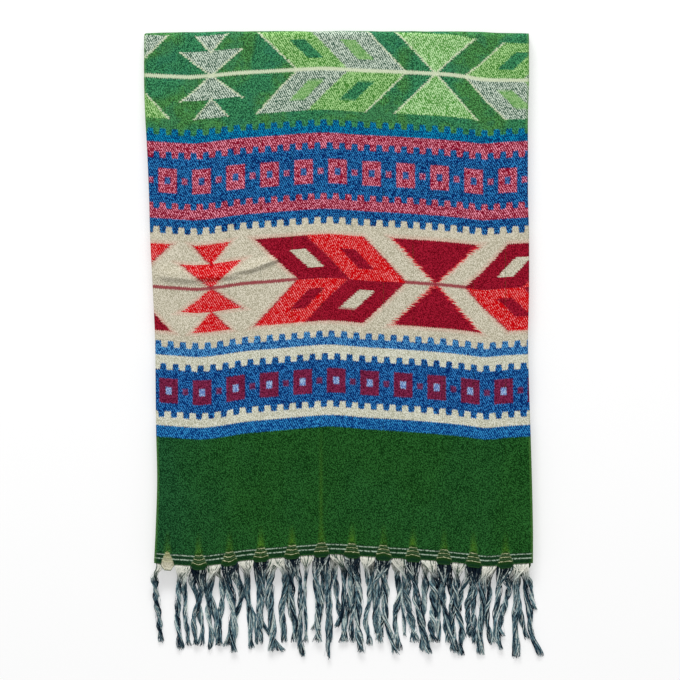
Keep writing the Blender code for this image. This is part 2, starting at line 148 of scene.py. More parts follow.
# The creases, each steeper on its lower side.
RIDGES = (
    # from across, from down, to across, to down, half width above, half width below, height
    (-192, 244, -150, 248, 9, 3.5, 2.6),
    (-150, 248, -112, 245, 9, 3.0, 2.6),
    (-116, 245, -88, 238, 7, 1.7, 2.6),
    (-90, 239, -66, 230, 5, 1.3, 2.7),
    (-192, 136, -136, 133, 3, 1.4, 0.5),
    (-8, 128, 182, 136, 3, 1.3, 0.6),
    (70, 157, 180, 160, 3, 1.4, 0.45),
    (-120, 131, -60, 128, 3, 1.5, 0.35),
    (-22, 400, -19, 512, 4, 4, 1.1),
    (96, 396, 104, 470, 6, 6, 0.8),
    (-150, 300, -120, 380, 9, 9, 0.7),
    (-90, 420, -84, 500, 5, 7, 0.7),
    (52, 430, 58, 508, 6, 6, 0.7),
    (150, 60, 160, 118, 9, 7, 0.5),
    (-60, 20, -52, 96, 8, 8, 0.5),
)
# Slow swells of the brushed cloth: wave length across, wave length down, turn, height.
SWELLS = (
    (61.0, 83.0, 0.4, 0.16),
    (-97.0, 57.0, 1.9, 0.14),
    (37.0, -71.0, 3.1, 0.09),
    (23.0, 29.0, 5.0, 0.05),
)

# How finely the cloth is divided.
COLUMN_STEP = 2.15
ROW_STEP = 2.6
CREASE_ROW_STEP = 1.1
CREASE_ROWS = (221.0, 257.0)
HEM_ROW_STEP = 1.0
HEM_ROWS_FROM = 494.0
ROLL_ROWS = 12
CURL_COLUMNS = 9

# The hidden layers' edges, from the bottom layer up, as steps in from the pack's own edge.
LAYER_STEPS = (
    # step at the long fold, step at the selvedges, step at the hems
    (0.9, 1.2, 1.8),
    (0.9, 2.4, 1.8),
    (2.0, 1.6, 1.8),
    (2.0, 3.0, 1.8),
    (1.2, 2.0, 1.4),
    (1.2, 1.0, 2.2),
    (SIDE_TUCK + 2 * SIDE_CURL, 2.6, 1.6),
)
FOLD_LAYERS = 4
FOLD_PEEK = 9.0
FOLD_PEEK_SHARE = 0.05
GROOVE = 0.8
TOP_LIP = 2.4
TOP_LIP_ROUND = 3.1
TUCK_CLEAR = 2.0
CORNER_RADIUS = 5.0
CORNER_STEPS = 6
EDGE_RINGS = 5
LAYER_SIDE_STATIONS = 130
LAYER_END_STATIONS = 110
LAYER_WAVE = 0.35
# How many rows each layer's pattern is shifted, because no two layers lie quite alike.
LAYER_SHIFTS = (0.0, 9.0, 4.0, -6.0, 11.0, 2.0, -9.0)

# The fringe.
BACK_STRIP_UP = 6.9
HANK_FALLS = (
    # below the hem, front height, back height
    (0, 10.8, 7.0),
    (8, 10.4, 6.8),
    (16, 7.8, 4.8),
    (25, 4.4, 2.0),
    (36, 2.6, 0.4),
)
HANK_REST = 0.4
HANK_MIDDLE = 0.8
HANK_SHARES = (0.0, 0.15, 0.4, 0.7, 1.0)
HANKS = (
    # strip, across at 0, 0.15, 0.4, 0.7 and all of its length, down at the tip, width
    ("front", -177.0, -186.0, -184.4, -181.5, -180.4, 613.5, 5.2),
    ("front", -162.0, -161.0, -162.0, -162.5, -160.3, 621.5, 5.2),
    ("front", -154.0, -155.0, -155.7, -154.7, -151.3, 617.7, 4.5),
    ("back", -149.5, -152.2, -144.0, -139.0, -139.6, 617.0, 4.5),
    ("front", -142.5, -141.0, -140.1, -146.7, -144.3, 616.2, 4.8),
    ("back", -135.5, -135.3, -133.3, -130.1, -130.4, 620.7, 4.5),
    ("front", -131.0, -129.0, -130.7, -123.4, -121.9, 617.0, 6.0),
    ("back", -127.0, -119.5, -117.6, -121.1, -121.1, 616.2, 5.0),
    ("front", -116.0, -114.5, -108.2, -107.6, -106.2, 623.7, 6.7),
    ("back", -103.0, -100.0, -99.0, -106.5, -114.5, 617.5, 6.0),
    ("front", -89.0, -91.0, -94.0, -85.5, -83.0, 615.9, 4.4),
    ("back", -94.0, -93.5, -92.6, -90.0, -89.6, 620.6, 4.5),
    ("back", -82.5, -82.5, -82.1, -77.0, -57.0, 623.0, 4.5),
    ("front", -77.0, -77.5, -77.0, -79.5, -78.4, 615.0, 4.0),
    ("front", -69.5, -70.5, -70.6, -68.4, -67.3, 623.0, 7.0),
    ("front", -57.0, -53.5, -56.0, -58.0, -56.1, 613.5, 6.0),
    ("front", -46.7, -47.3, -49.0, -45.5, -45.7, 613.5, 4.5),
    ("back", -51.0, -51.5, -52.8, -45.5, -37.0, 627.8, 4.5),
    ("front", -32.0, -34.2, -35.0, -34.6, -34.4, 613.5, 3.4),
    ("front", -41.5, -41.0, -39.8, -39.7, -39.2, 621.0, 4.3),
    ("front", -23.5, -24.2, -23.4, -21.4, -22.3, 613.5, 6.0),
    ("back", -19.5, -18.0, -17.0, -18.5, -28.2, 601.5, 5.0),
    ("front", -14.0, -14.0, -13.3, -11.6, -11.9, 630.2, 4.5),
    ("back", -10.0, -10.5, -10.2, -10.0, -9.9, 614.3, 4.0),
    ("back", -4.0, -5.0, -4.5, 1.0, 6.3, 613.5, 4.5),
    ("front", 1.0, 3.0, 5.0, 3.0, -4.0, 599.0, 4.0),
    ("front", 7.0, 9.0, 10.8, 6.5, 2.8, 613.5, 5.0),
    ("front", 15.0, 17.8, 19.6, 17.4, 21.7, 624.2, 6.0),
    ("back", 12.0, 13.0, 14.0, 12.5, 11.5, 613.5, 4.5),
    ("front", 26.0, 26.3, 29.5, 26.8, 28.5, 616.7, 5.0),
    ("front", 36.0, 35.7, 36.5, 38.0, 39.3, 614.3, 6.0),
    ("back", 31.0, 31.5, 33.0, 35.0, 36.5, 606.3, 4.0),
    ("front", 43.0, 43.0, 46.0, 47.0, 56.4, 625.4, 5.0),
    ("back", 44.0, 43.5, 44.5, 43.0, 41.2, 609.0, 4.0),
    ("back", 56.5, 57.2, 58.6, 55.6, 58.8, 622.2, 5.0),
    ("front", 62.5, 62.8, 63.5, 63.3, 65.2, 607.9, 3.2),
    ("back", 68.0, 67.8, 67.0, 71.0, 74.7, 614.3, 6.5),
    ("front", 72.0, 73.5, 76.8, 81.5, 89.9, 625.4, 5.5),
    ("back", 85.0, 85.8, 84.3, 83.0, 82.7, 623.0, 5.0),
    ("front", 94.0, 94.2, 94.6, 92.6, 94.0, 613.5, 6.5),
    ("back", 100.5, 100.6, 99.4, 98.0, 99.8, 613.5, 4.0),
    ("front", 105.0, 103.2, 101.5, 109.5, 113.8, 623.8, 4.5),
    ("back", 107.0, 106.0, 104.2, 105.2, 108.8, 614.3, 3.8),
    ("back", 112.5, 112.3, 112.6, 113.2, 114.6, 623.0, 6.0),
    ("front", 118.0, 117.3, 116.0, 121.5, 122.0, 627.0, 5.0),
    ("back", 125.5, 126.0, 124.5, 120.8, 119.0, 583.5, 4.5),
    ("back", 133.0, 132.7, 131.5, 128.0, 129.5, 609.0, 5.0),
    ("front", 137.5, 135.8, 134.4, 134.0, 135.0, 615.1, 4.4),
    ("front", 143.0, 143.0, 142.8, 140.7, 141.8, 626.2, 6.0),
    ("back", 149.0, 148.0, 149.8, 147.0, 153.8, 615.9, 5.0),
    ("front", 157.0, 158.3, 158.6, 155.3, 161.8, 620.6, 5.5),
    ("back", 168.0, 169.3, 169.4, 161.8, 161.5, 609.0, 6.0),
    ("front", 175.0, 174.5, 177.0, 176.2, 176.1, 629.4, 6.0),
    ("back", 180.5, 179.5, 178.3, 181.8, 188.1, 610.3, 4.0),
    ("front", 186.0, 185.5, 188.2, 191.5, 200.8, 627.8, 5.0),
    ("back", 188.5, 189.0, 190.0, 193.0, 196.1, 581.6, 3.5),
)
YARNS_PER_MM = 4.8
YARN_RADIUS = 0.41
YARN_SIDES = 4
YARN_RINGS = 27
YARN_SPREAD = 1.58
WEB_FROM_GATHER = 8.5
WEB_FROM_LAST_GATHER = 15.0
WEB_BEFORE_FIRST_GATHER = 8.0
FIRST_ROOT = 3.0
WEB_LENGTH = 19.0
WEB_ROOT = 8.5
# The roots under the gathers, which get painted shade: how far down they stay fanned, and how wide they fan.
SHADED_ROOT_LENGTH = 30.0
SHADED_ROOT = 9.0
ROOT_INSIDE = 1.2
FIBRES_PER_HANK = 5
FIBRE_RADIUS = 0.16
FIBRE_SIDES = 3
FIBRE_RINGS = 18
FIBRE_SPREAD = 1.7
YARN_TONES = (0.36, 0.72)

# The woven bands: each edge between two grounds, with the square teeth that some edges have.
BAND_EDGES = (
    # row, tooth depth, first tooth, tooth pitch, ground below it
    (94.5, -6.0, 159.2, 12.38, "sea_blue"),
    (101.7, 0.0, 0.0, 1.0, "pink"),
    (111.0, 6.3, 159.2, 12.38, "blue"),
    (168.0, -6.0, 159.2, 12.38, "pink"),
    (177.6, 0.0, 0.0, 1.0, "blue"),
    (192.4, -6.6, 165.5, 12.38, "cream"),
    (305.7, -6.2, 167.2, 12.39, "pale_blue"),
    (313.7, 0.0, 0.0, 1.0, "pale_cream"),
    (321.9, 6.2, 166.2, 12.42, "deep_blue"),
    (375.7, -6.1, 164.3, 12.49, "pale_cream"),
    (383.8, 0.0, 0.0, 1.0, "last_blue"),
    (395.4, 0.0, 0.0, 1.0, "low_green"),
)
TOOTH_WIDTH = 6.6
THREAD_ZERO = 340.0
WARP_PITCH = 1.95

# The twill: how many of its lines each thread and each row crosses, and the floats of yarn along them.
TWILL_TURN = (0.455, 0.26)
TWILL_ALONG = (0.13, 0.24)
FLOATS_ACROSS = 1.95
FLOATS_ALONG = 3.6
FLOAT_OFFSET = 0.37

# The large motifs stand on two lines and mirror about the hourglass.
MOTIF_LINES = (37.6, 246.3)
MOTIF_MIDDLE_ROW = 150.0
MOTIF_RISES = (39.5, 43.3)
MOTIF_FALLS = (41.0, 43.3)
HOURGLASS_ACROSS = 435.7
MOTIF_REPEAT = 446.0
ARROW_FROM = 29.3
ARROW_SPLIT = 87.0
ARROW_TO = 138.0
DIAMOND_ROWS = (10.8, 30.0)
DIAMOND_NEAR = (50.5, 66.3)
DIAMOND_FAR = (100.7, 116.4)
STEPPED_ACROSS = 211.3
# The stacked triangles: where the inner one ends and the outer begins, and the slope and slant of each.
TRIANGLE_FOOT = 23.6
TRIANGLE_STEP = 22.5
WIDE_TRIANGLE = (1.28, 0.62)
TALL_TRIANGLE = (0.9, 0.74)
LINE_HALF = 1.75
WEAVE_STEP = 1.9

# The rows of framed squares with a dot between each two.
SQUARE_ROWS = (139.8, 349.1)
SQUARE_FIRST = (167.6, 168.7)
SQUARE_PITCH = (34.0, 33.5)
SQUARE_HALF = (9.3, 12.2)
SQUARE_HOLE = (2.9, 3.6)
DOT_HALF = (2.8, 3.0)

# The two pale bars above the hem.
BARS = (
    # row, half thickness
    (513.4, 0.42),
    (517.6, 0.5),
)
TAB_LINES = (511.8, 515.6, 519.8)
TAB_TOP = 508.8
TAB_SPREAD = 2.1
# The first tab, at the long fold, is tan.
FIRST_TAB_THREAD = 180.0
# Painted highlight on the puckers above each gather: the row where it is strongest, and how many rows it
# fades over.
LIT_FLARE_MIDDLE = 501.0
LIT_FLARE_ROWS = 26.0
# A paler strip of painted highlight that runs up the lowest band from one gather, along the low ridge there.
LIT_STREAK_THREAD = 321.0
LIT_STREAK_ROWS = (420.0, 512.0)

CAMERA_HEIGHT = 3.0
PHOTO_WIDTH = 0.68
SENSOR = 36.0
PHOTO_MIDDLE_ACROSS = 0.0
PHOTO_MIDDLE_DOWN = 309.0
FLOOR_WHITE = 0.62
FLOOR_GLOW = 0.42
FLOOR_SIZE = 6.0
FLOOR_UNDER = 0.0003
SKY_STRENGTH = 0.52
WINDOW_SIZE = (2.4, 1.2)
WINDOW_POWER = 142.0
WINDOW_PLACE = (-0.3, 3.4, 2.1)

SHEEN_ROUGHNESS = 0.5
SPECULAR_LEVEL = 0.05


def smooth_through(rows, places, column):
    """Values at places of a smooth curve through one column of a table sorted by its first column."""
    knots = np.array([row[0] for row in rows], float)
    values = np.array([row[column] for row in rows], float)
    order = np.arange(len(rows))
    before, after = np.maximum(order - 1, 0), np.minimum(order + 1, len(rows) - 1)
    slopes = (values[after] - values[before]) / (knots[after] - knots[before])
    places = np.clip(places, knots[0], knots[-1])
    low = np.clip(np.searchsorted(knots, places, side="right") - 1, 0, len(rows) - 2)
    span = knots[low + 1] - knots[low]
    t = (places - knots[low]) / span
    return (
        (2 * t**3 - 3 * t**2 + 1) * values[low]
        + (t**3 - 2 * t**2 + t) * span * slopes[low]
        + (3 * t**2 - 2 * t**3) * values[low + 1]
        + (t**3 - t**2) * span * slopes[low + 1]
    )


def straight_through(rows, places, column):
    return np.interp(places, [row[0] for row in rows], [row[column] for row in rows])


def soft_step(t):
    t = np.clip(t, 0.0, 1.0)
    return t * t * (3 - 2 * t)


def left_side(down):
    return smooth_through(SIDES, down, 1)


def right_side(down):
    return smooth_through(SIDES, down, 2)


def row_down(share, crest_down):
    """How far down a row of the pack lies at a share of the width."""
    arch = smooth_through(ROW_DEPTHS, crest_down, 1) * smooth_through(ROW_DIPS, share, 1)
    droop = CORNER_DROOP * (2 * share - 1) ** 4 * np.maximum(0.0, 1 - crest_down / CORNER_DROOP_LENGTH)
    return crest_down + arch + droop


def thread_row(share, cloth_down):
    """Which woven row passes a place: rows are counted where they are highest, and arch down beside that."""
    dip = smooth_through(ROW_DIPS, share, 1)
    row = cloth_down - dip * straight_through(THREAD_DEPTHS, cloth_down, 1)
    for _ in range(3):
        row = cloth_down - dip * straight_through(THREAD_DEPTHS, row, 1)
    sag = soft_step((share - 1 + SAG_SHARE) / SAG_SHARE) * np.clip(1 - row / SAG_ROWS, 0.0, 1.0)
    return row - SAG * sag


def share_of(across, down):
    left, right = left_side(down), right_side(down)
    return np.clip((across - left) / (right - left), 0.0, 1.0)


def hem_down(across):
    return row_down(share_of(across, HEM), HEM)


def nearest_gather(across, column):
    """One column of the gather that is nearest to each place across."""
    across = np.asarray(across, float)
    table = np.array(GATHERS, float)
    return table[np.abs(across[..., None] - table[:, 0]).argmin(axis=-1), column]


def gather_share(across):
    apart = np.abs(across - nearest_gather(across, 0))
    return 0.5 + 0.5 * np.cos(np.pi * np.minimum(apart / GATHER_HALF_WIDTH, 1.0))


def gather_dip(across, crest_down):
    """How far a gather's tab hangs below the hem: it is flat in its middle and short of a row's length up."""
    apart = np.abs(across - nearest_gather(across, 0))
    drawn = soft_step(1 - (HEM - crest_down) / GATHER_DRAW)
    return nearest_gather(across, 1) * soft_step((nearest_gather(across, 3) - apart) / TAB_SIDE) * drawn


def ridge_height(ridge, across, down):
    """A ridge is round across its line, steeper below it, and fades out past its two ends."""
    start, end = np.array(ridge[0:2], float), np.array(ridge[2:4], float)
    above, below, height = ridge[4:7]
    run = end - start
    length = np.hypot(*run)
    along = ((across - start[0]) * run[0] + (down - start[1]) * run[1]) / length
    beside = ((across - start[0]) * -run[1] + (down - start[1]) * run[0]) / length
    past = np.maximum(np.maximum(-along, along - length), 0.0)
    reach = beside / np.where(beside > 0, below, above)
    return height * np.exp(-reach * reach - (past / above) ** 2 / 2)


def relief(across, down):
    """How far the top cloth stands up from the layers under it."""
    height = np.max([ridge_height(ridge, across, down) for ridge in RIDGES], axis=0)
    flare = soft_step(1 + (down - hem_down(across)) / GATHER_FLARE)
    height = height + GATHER_RISE * gather_share(across) * flare * flare
    for wide, tall, turn, swell in SWELLS:
        height = height + swell * (1 + np.sin(2 * np.pi * (across / wide + down / tall) + turn))
    fold = soft_step(1 - (across - left_side(down)) / SIDE_RISE_WIDTH)
    return height * (1 - fold) + SIDE_RISE * fold


def placed(across, down, up):
    """Points of the frame, in metres, from sizes of the pack."""
    leftmost = min(row[1] for row in SIDES)
    across, down, up = np.broadcast_arrays(across, down, up)
    x = panel_low.x + (across - leftmost) * MM
    y = panel_high.y - down * MM
    return np.stack([x, y, up * MM], axis=-1)


def read_layer(mesh, name):
    values = np.zeros(len(mesh.vertices), np.int32)
    mesh.attributes[name].data.foreach_get("value", values)
    return values


def set_points(mesh, points):
    mesh.vertices.foreach_set("co", np.asarray(points, np.float32).ravel())
    mesh.update()


def add_vectors(mesh, name, *columns):
    """An attribute of three numbers at each point."""
    values = np.stack([np.broadcast_to(c, len(mesh.vertices)) for c in columns], axis=-1)
    layer = mesh.attributes.new(name, "FLOAT_VECTOR", "POINT")
    layer.data.foreach_set("vector", values.astype(np.float32).ravel())


def finished_piece(name, mesh, material, slot, *nodes):
    mesh.materials.append(material)
    mesh.shade_smooth()
    piece = bpy.data.objects.new(name, mesh)
    bpy.context.collection.objects.link(piece)
    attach(piece, "root")
    if nodes:
        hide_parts(*nodes)
    return piece


def turn_outwards(mesh):
    bm = bmesh.new()
    bm.from_mesh(mesh)
    bmesh.ops.recalc_face_normals(bm, faces=bm.faces[:])
    bm.to_mesh(mesh)
    bm.free()


def flip_if_inside_out(mesh):
    """Turns all the faces of closed tubes over if they hold a negative volume."""
    mesh.calc_loop_triangles()
    corners = np.zeros(3 * len(mesh.loop_triangles), np.int32)
    mesh.loop_triangles.foreach_get("vertices", corners)
    points = np.zeros(3 * len(mesh.vertices), np.float32)
    mesh.vertices.foreach_get("co", points)
    first, second, third = points.reshape(-1, 3)[corners].reshape(-1, 3, 3).swapaxes(0, 1)
    if np.sum(first * np.cross(second, third)) < 0:
        mesh.flip_normals()


def cloth_wall(name, columns, rows):
    """A closed wall of cloth as a grid extruded once, with each point's column, row and side."""
    bm = bmesh.new()
    column_of = bm.verts.layers.int.new("column")
    row_of = bm.verts.layers.int.new("row")
    inside_of = bm.verts.layers.int.new("inside")
    bmesh.ops.create_grid(bm, x_segments=columns - 1, y_segments=rows - 1, size=0.5)
    for vert in bm.verts:
        vert[column_of] = round((vert.co.x + 0.5) * (columns - 1))
        vert[row_of] = round((0.5 - vert.co.y) * (rows - 1))
    for part in bmesh.ops.extrude_face_region(bm, geom=bm.faces[:])["geom"]:
        if isinstance(part, bmesh.types.BMVert):
            part[inside_of] = 1
    mesh = bpy.data.meshes.new(name)
    bm.to_mesh(mesh)
    bm.free()
    return mesh


def top_cloth(material):
    """The top layer: rolled over the top fold, curled under at the long fold, gathered at its hem."""
    curl = np.linspace(-90, 90, CURL_COLUMNS, endpoint=False)
    shares = np.linspace(0, 1, round((right_side(HEM) - left_side(HEM)) / COLUMN_STEP))
    first_share = SIDE_CURL / (right_side(HEM) - left_side(HEM))
    shares = first_share + (1 - first_share) * shares
    roll = np.linspace(TOP_ROLL_END, 90, ROLL_ROWS, endpoint=False)
    above = np.arange(TOP_ROLL, CREASE_ROWS[0], ROW_STEP)
    creased = np.arange(CREASE_ROWS[0], CREASE_ROWS[1], CREASE_ROW_STEP)
    below = np.arange(CREASE_ROWS[1], HEM_ROWS_FROM, ROW_STEP)
    flat = np.concatenate([above, creased, below])
    hem = np.linspace(HEM_ROWS_FROM, HEM, round((HEM - HEM_ROWS_FROM) / HEM_ROW_STEP) + 1)
    flat_rows = np.concatenate([flat, hem])
    mesh = cloth_wall("top_cloth", 1 + len(curl) + len(shares), len(roll) + len(flat_rows))

    column, row, inside = (read_layer(mesh, name) for name in ("column", "row", "inside"))
    rolled = row < len(roll)
    angle = np.radians(np.append(roll, np.full(len(flat_rows), 90.0)))[row]
    crest_down = np.append(np.full(len(roll), TOP_ROLL), flat_rows)[row]
    on_flat = column > len(curl)
    share = np.concatenate([np.zeros(1 + len(curl)), shares])[column]
    curled = np.radians(np.concatenate([[-90], curl, np.full(len(shares), 90.0)]))[column]

    down = row_down(share, crest_down)
    left, right = left_side(down), right_side(down)
    flat_across = np.maximum(left + SIDE_CURL, left + share * (right - left))
    radius = SIDE_CURL - WALL * inside
    tucked = np.where(column == 0, SIDE_TUCK, 0.0)
    curl_across = left + SIDE_CURL - radius * np.cos(curled) + tucked
    across = np.where(on_flat, flat_across, curl_across)
    down = down + np.where(on_flat, gather_dip(across, crest_down), 0.0)
    depth = np.where(on_flat, WALL * inside, SIDE_CURL - radius * np.sin(curled))
    depth -= np.where(on_flat, relief(np.maximum(across, left), down), SIDE_RISE)
    roll_radius = TOP_ROLL - depth
    cloth_down = down - np.where(rolled, TOP_ROLL * (np.pi / 2 - angle), 0.0)
    points = placed(
        across,
        np.where(rolled, down - roll_radius * np.cos(angle), down),
        np.where(rolled, TOP_ROLL + roll_radius * np.sin(angle), PANEL_TOP - depth),
    )
    set_points(mesh, points)
    turn_outwards(mesh)

    on_curl = left + SIDE_CURL - SIDE_CURL * (np.pi / 2 - curled) - tucked
    thread = np.where(on_flat, across, on_curl) + THREAD_ZERO
    arched = soft_step((crest_down - ARCH_FROM) / ARCH_ROWS)
    arch = nearest_gather(across, 2) * gather_share(across) * arched
    woven = thread_row(share, cloth_down) + arch
    apart = np.abs(across - nearest_gather(across, 0))
    # How far each point lies from the pack's outline, which sets the painted highlight and wear on the folded
    # edges.
    side = np.minimum(thread - THREAD_ZERO - left, right - across)
    edge = np.minimum(np.abs(side), cloth_down + TOP_ROLL * (np.pi / 2 - 1))
    add_vectors(mesh, "woven", thread, woven, 0.0)
    add_vectors(mesh, "place", np.maximum(edge, 0.0), apart, 0.0)
    add_vectors(mesh, "hem", HEM - crest_down, 0.0, 0.0)
    return finished_piece("top_cloth", mesh, material, "brushed_cloth", "front_panel")


def ring_stack(name, sides, rings):
    """A closed solid of rings with flat ends: a disc extruded once for each further ring."""
    bm = bmesh.new()
    side_of = bm.verts.layers.int.new("side")
    ring_of = bm.verts.layers.int.new("ring")
    verts = bmesh.ops.create_circle(bm, cap_ends=True, segments=sides, radius=1)["verts"]
    for index, vert in enumerate(verts):
        vert[side_of] = index
    cap = verts[0].link_faces[0]
    for ring in range(1, rings):
        extruded = bmesh.ops.extrude_face_region(bm, geom=[cap])["geom"]
        if ring > 1:
            bmesh.ops.delete(bm, geom=[cap], context="FACES_ONLY")
        cap = next(part for part in extruded if isinstance(part, bmesh.types.BMFace))
        for part in extruded:
            if isinstance(part, bmesh.types.BMVert):
                part[ring_of] = ring
    mesh = bpy.data.meshes.new(name)
    bm.to_mesh(mesh)
    bm.free()
    return mesh


def outline_stations():
    """Places round the pack: shares across and down, and how far a rounded corner draws each in."""
    stations = []
    sides = (((0, 1), (0, 0)), ((0, 0), (1, 0)), ((1, 0), (1, 1)), ((1, 1), (0, 1)))
    for (from_a, from_d), (to_a, to_d) in sides:
        count = LAYER_SIDE_STATIONS if from_a == to_a else LAYER_END_STATIONS
        for i in range(1, count):
            t = i / count
            stations.append((from_a + t * (to_a - from_a), from_d + t * (to_d - from_d), 0, 0))
        for i in range(CORNER_STEPS + 1):
            turn = math.radians(90 * i / CORNER_STEPS)
            along, beside = CORNER_RADIUS * (1 - math.sin(turn)), CORNER_RADIUS * (1 - math.cos(turn))
            in_across, in_down = (beside, along) if from_a == to_a else (along, beside)
            stations.append((to_a, to_d, in_across * (1 - 2 * to_a), in_down * (1 - 2 * to_d)))
    return np.array(stations)


def hem_step(layer, height, share):
    """The step in at the hems: single hems over the middle fold, which shows past them at one end."""
    radius = FOLD_LAYERS * LAYER / 2
    offset = layer * LAYER + height - radius
    peek = FOLD_PEEK * soft_step(1 - (1 - share) / FOLD_PEEK_SHARE)
    fold = np.array(LAYER_STEPS)[layer, 2] - peek + radius
    fold = fold - np.sqrt(np.maximum(radius * radius - offset * offset, 0.0))
    return np.where(layer >= FOLD_LAYERS, np.array(LAYER_STEPS)[layer, 2], fold)


def top_step(up, share):
    """The step in at the top fold: a lip under the roll, then the round that the roll wraps."""
    lip = TOP_LIP + TOP_LIP_ROUND * np.maximum(1 - up / LAYER, 0.0) ** 2
    wrapped = (right_side(0) - left_side(0)) * share < SIDE_TUCK + 2 * SIDE_CURL + TUCK_CLEAR
    radius = TOP_ROLL - WALL - SEAM_GAP
    apart = up - TOP_ROLL
    bowed = TOP_ROLL - np.sqrt(np.maximum(radius * radius - apart * apart, 0.0))
    stepped = np.where(wrapped | (np.abs(apart) >= radius), TOP_ROLL + SEAM_GAP, bowed)
    return np.where(up < LAYER, lip, stepped)


def layered_cloth(material):
    """The seven hidden layers as one solid, with a rounded edge for each layer and a groove between."""
    stations = outline_stations()
    rings = HIDDEN_LAYERS * EDGE_RINGS + 1
    mesh = ring_stack("layered_cloth", len(stations), rings)
    side, ring = read_layer(mesh, "side"), read_layer(mesh, "ring")
    share, drop, in_across, in_down = stations[side].T
    top = ring == rings - 1
    layer = np.where(top, HIDDEN_LAYERS - 1, ring // EDGE_RINGS)
    part = np.where(top, 1.0, (ring % EDGE_RINGS) / EDGE_RINGS)
    height = part * LAYER
    up = layer * LAYER + height
    steps = np.array(LAYER_STEPS)
    rounded = GROOVE * (1 - np.sin(np.pi * np.clip(part, 0.0, 1.0))) ** 2
    rounded[(layer == 0) & (part == 0)] = 0.0
    rounded[top] = 0.0
    fold_pair = (layer + part) / 2
    folded = GROOVE * (1 - np.sin(np.pi * (fold_pair - np.floor(fold_pair)))) ** 2
    folded[(layer == 0) & (part == 0)] = 0.0
    down = row_down(share, drop * HEM)
    wave = LAYER_WAVE * np.sin(down / (9.0 + 2.3 * layer) + 1.7 * layer) * np.sin(down / 31.0 + layer)
    wave_end = LAYER_WAVE * np.sin(share * (60.0 + 9.0 * layer) + 2.1 * layer)
    start = row_down(share, TOP_ROLL) - TOP_ROLL + top_step(up, share)
    finish = row_down(share, HEM) - hem_step(layer, height, share) - rounded * 0.8
    finish = finish - np.where(layer >= FOLD_LAYERS, np.abs(wave_end), 0.0)
    left = left_side(down) + steps[layer, 0] + folded + np.abs(wave)
    right = right_side(down) - steps[layer, 1] - rounded - np.abs(wave)
    across = left + share * (right - left) + in_across
    where = start + drop * (finish - start) + in_down
    set_points(mesh, placed(across, where, up))
    turn_outwards(mesh)
    shift = np.array(LAYER_SHIFTS)[layer]
    middle = left_side(HEM / 2) + right_side(HEM / 2)
    mirrored = np.where(layer % 2 == 1, middle - across, across)
    add_vectors(mesh, "woven", mirrored + THREAD_ZERO, thread_row(share, where) + shift, 0.0)
    # The place attribute sets the painted highlight and wear on each layer's edge and, as its third number,
    # the painted shade in the grooves between layers.
    groove = (1 - np.sin(np.pi * part)) * np.where(top, 0.0, 1.0)
    add_vectors(mesh, "place", np.where(part > 0, 2.0, 0.0), 15.0, groove)
    add_vectors(mesh, "hem", 9.0, 0.0, 0.0)
    return finished_piece("layered_cloth", mesh, material, "folded_cloth", "folded_layers")


def copied_tube(name, count, sides, rings):
    """Many tubes in one mesh: one tube of rings extruded from a disc, repeated by an array."""
    prototype = ring_stack(name, sides, rings)
    turn_outwards(prototype)
    helper = bpy.data.objects.new(name, prototype)
    bpy.context.collection.objects.link(helper)
    array = helper.modifiers.new("copies", "ARRAY")
    array.count = count
    array.use_relative_offset = False
    array.use_merge_vertices = False
    graph = bpy.context.evaluated_depsgraph_get()
    mesh = bpy.data.meshes.new_from_object(helper.evaluated_get(graph))
    bpy.data.objects.remove(helper)
    mesh.name = name
    return mesh


def tube_points(mesh, count, sides, centres, radii):
    """Sets each tube's rings round its own line: centres has one row of points for each tube."""
    side, ring = read_layer(mesh, "side"), read_layer(mesh, "ring")
    tube = np.arange(len(side)) // (len(side) // count)
    ahead = np.gradient(centres, axis=1)
    ahead /= np.linalg.norm(ahead, axis=2, keepdims=True)
    beside = np.cross(ahead, np.array([0.0, 0.0, 1.0]))
    beside /= np.maximum(np.linalg.norm(beside, axis=2, keepdims=True), 1e-9)
    above = np.cross(beside, ahead)
    turn = 2 * np.pi * side / sides
    offset = np.cos(turn)[:, None] * beside[tube, ring] + np.sin(turn)[:, None] * above[tube, ring]
    set_points(mesh, centres[tube, ring] + offset * radii[tube, ring][:, None])
    flip_if_inside_out(mesh)
    return tube, ring


def hank_line(hank, share):
    """Where a hank lies, across, at shares of its length."""
    rows = list(zip(HANK_SHARES, hank[1:6]))
    return smooth_through(rows, share, 1)


def front_tip_height(hank):
    """A front hank's tip comes down to the surface where no hank of the back strip lies under its end."""
    length = hank[6] - hem_down(hank[5])
    for other in (other for other in HANKS if other[0] == "back"):
        reach = other[6] - hem_down(other[5])
        below = np.linspace(0.7 * length, length, 12)
        apart = np.abs(hank_line(hank, below / length) - hank_line(other, below / reach))
        if np.any((below <= reach + 2) & (apart < (hank[7] + other[7]) / 2 + 1)):
            return HANK_FALLS[-1][1]
    return HANK_REST


def web_middle(across):
    """The middle of the pale web between the two gathers beside a place."""
    gathers = [row[0] for row in GATHERS]
    webs = [(a + b) / 2 for a, b in zip(gathers, gathers[1:])]
    webs += [gathers[0] - WEB_BEFORE_FIRST_GATHER, gathers[-1] + WEB_FROM_LAST_GATHER]
    return min(webs, key=lambda web: abs(web - across))


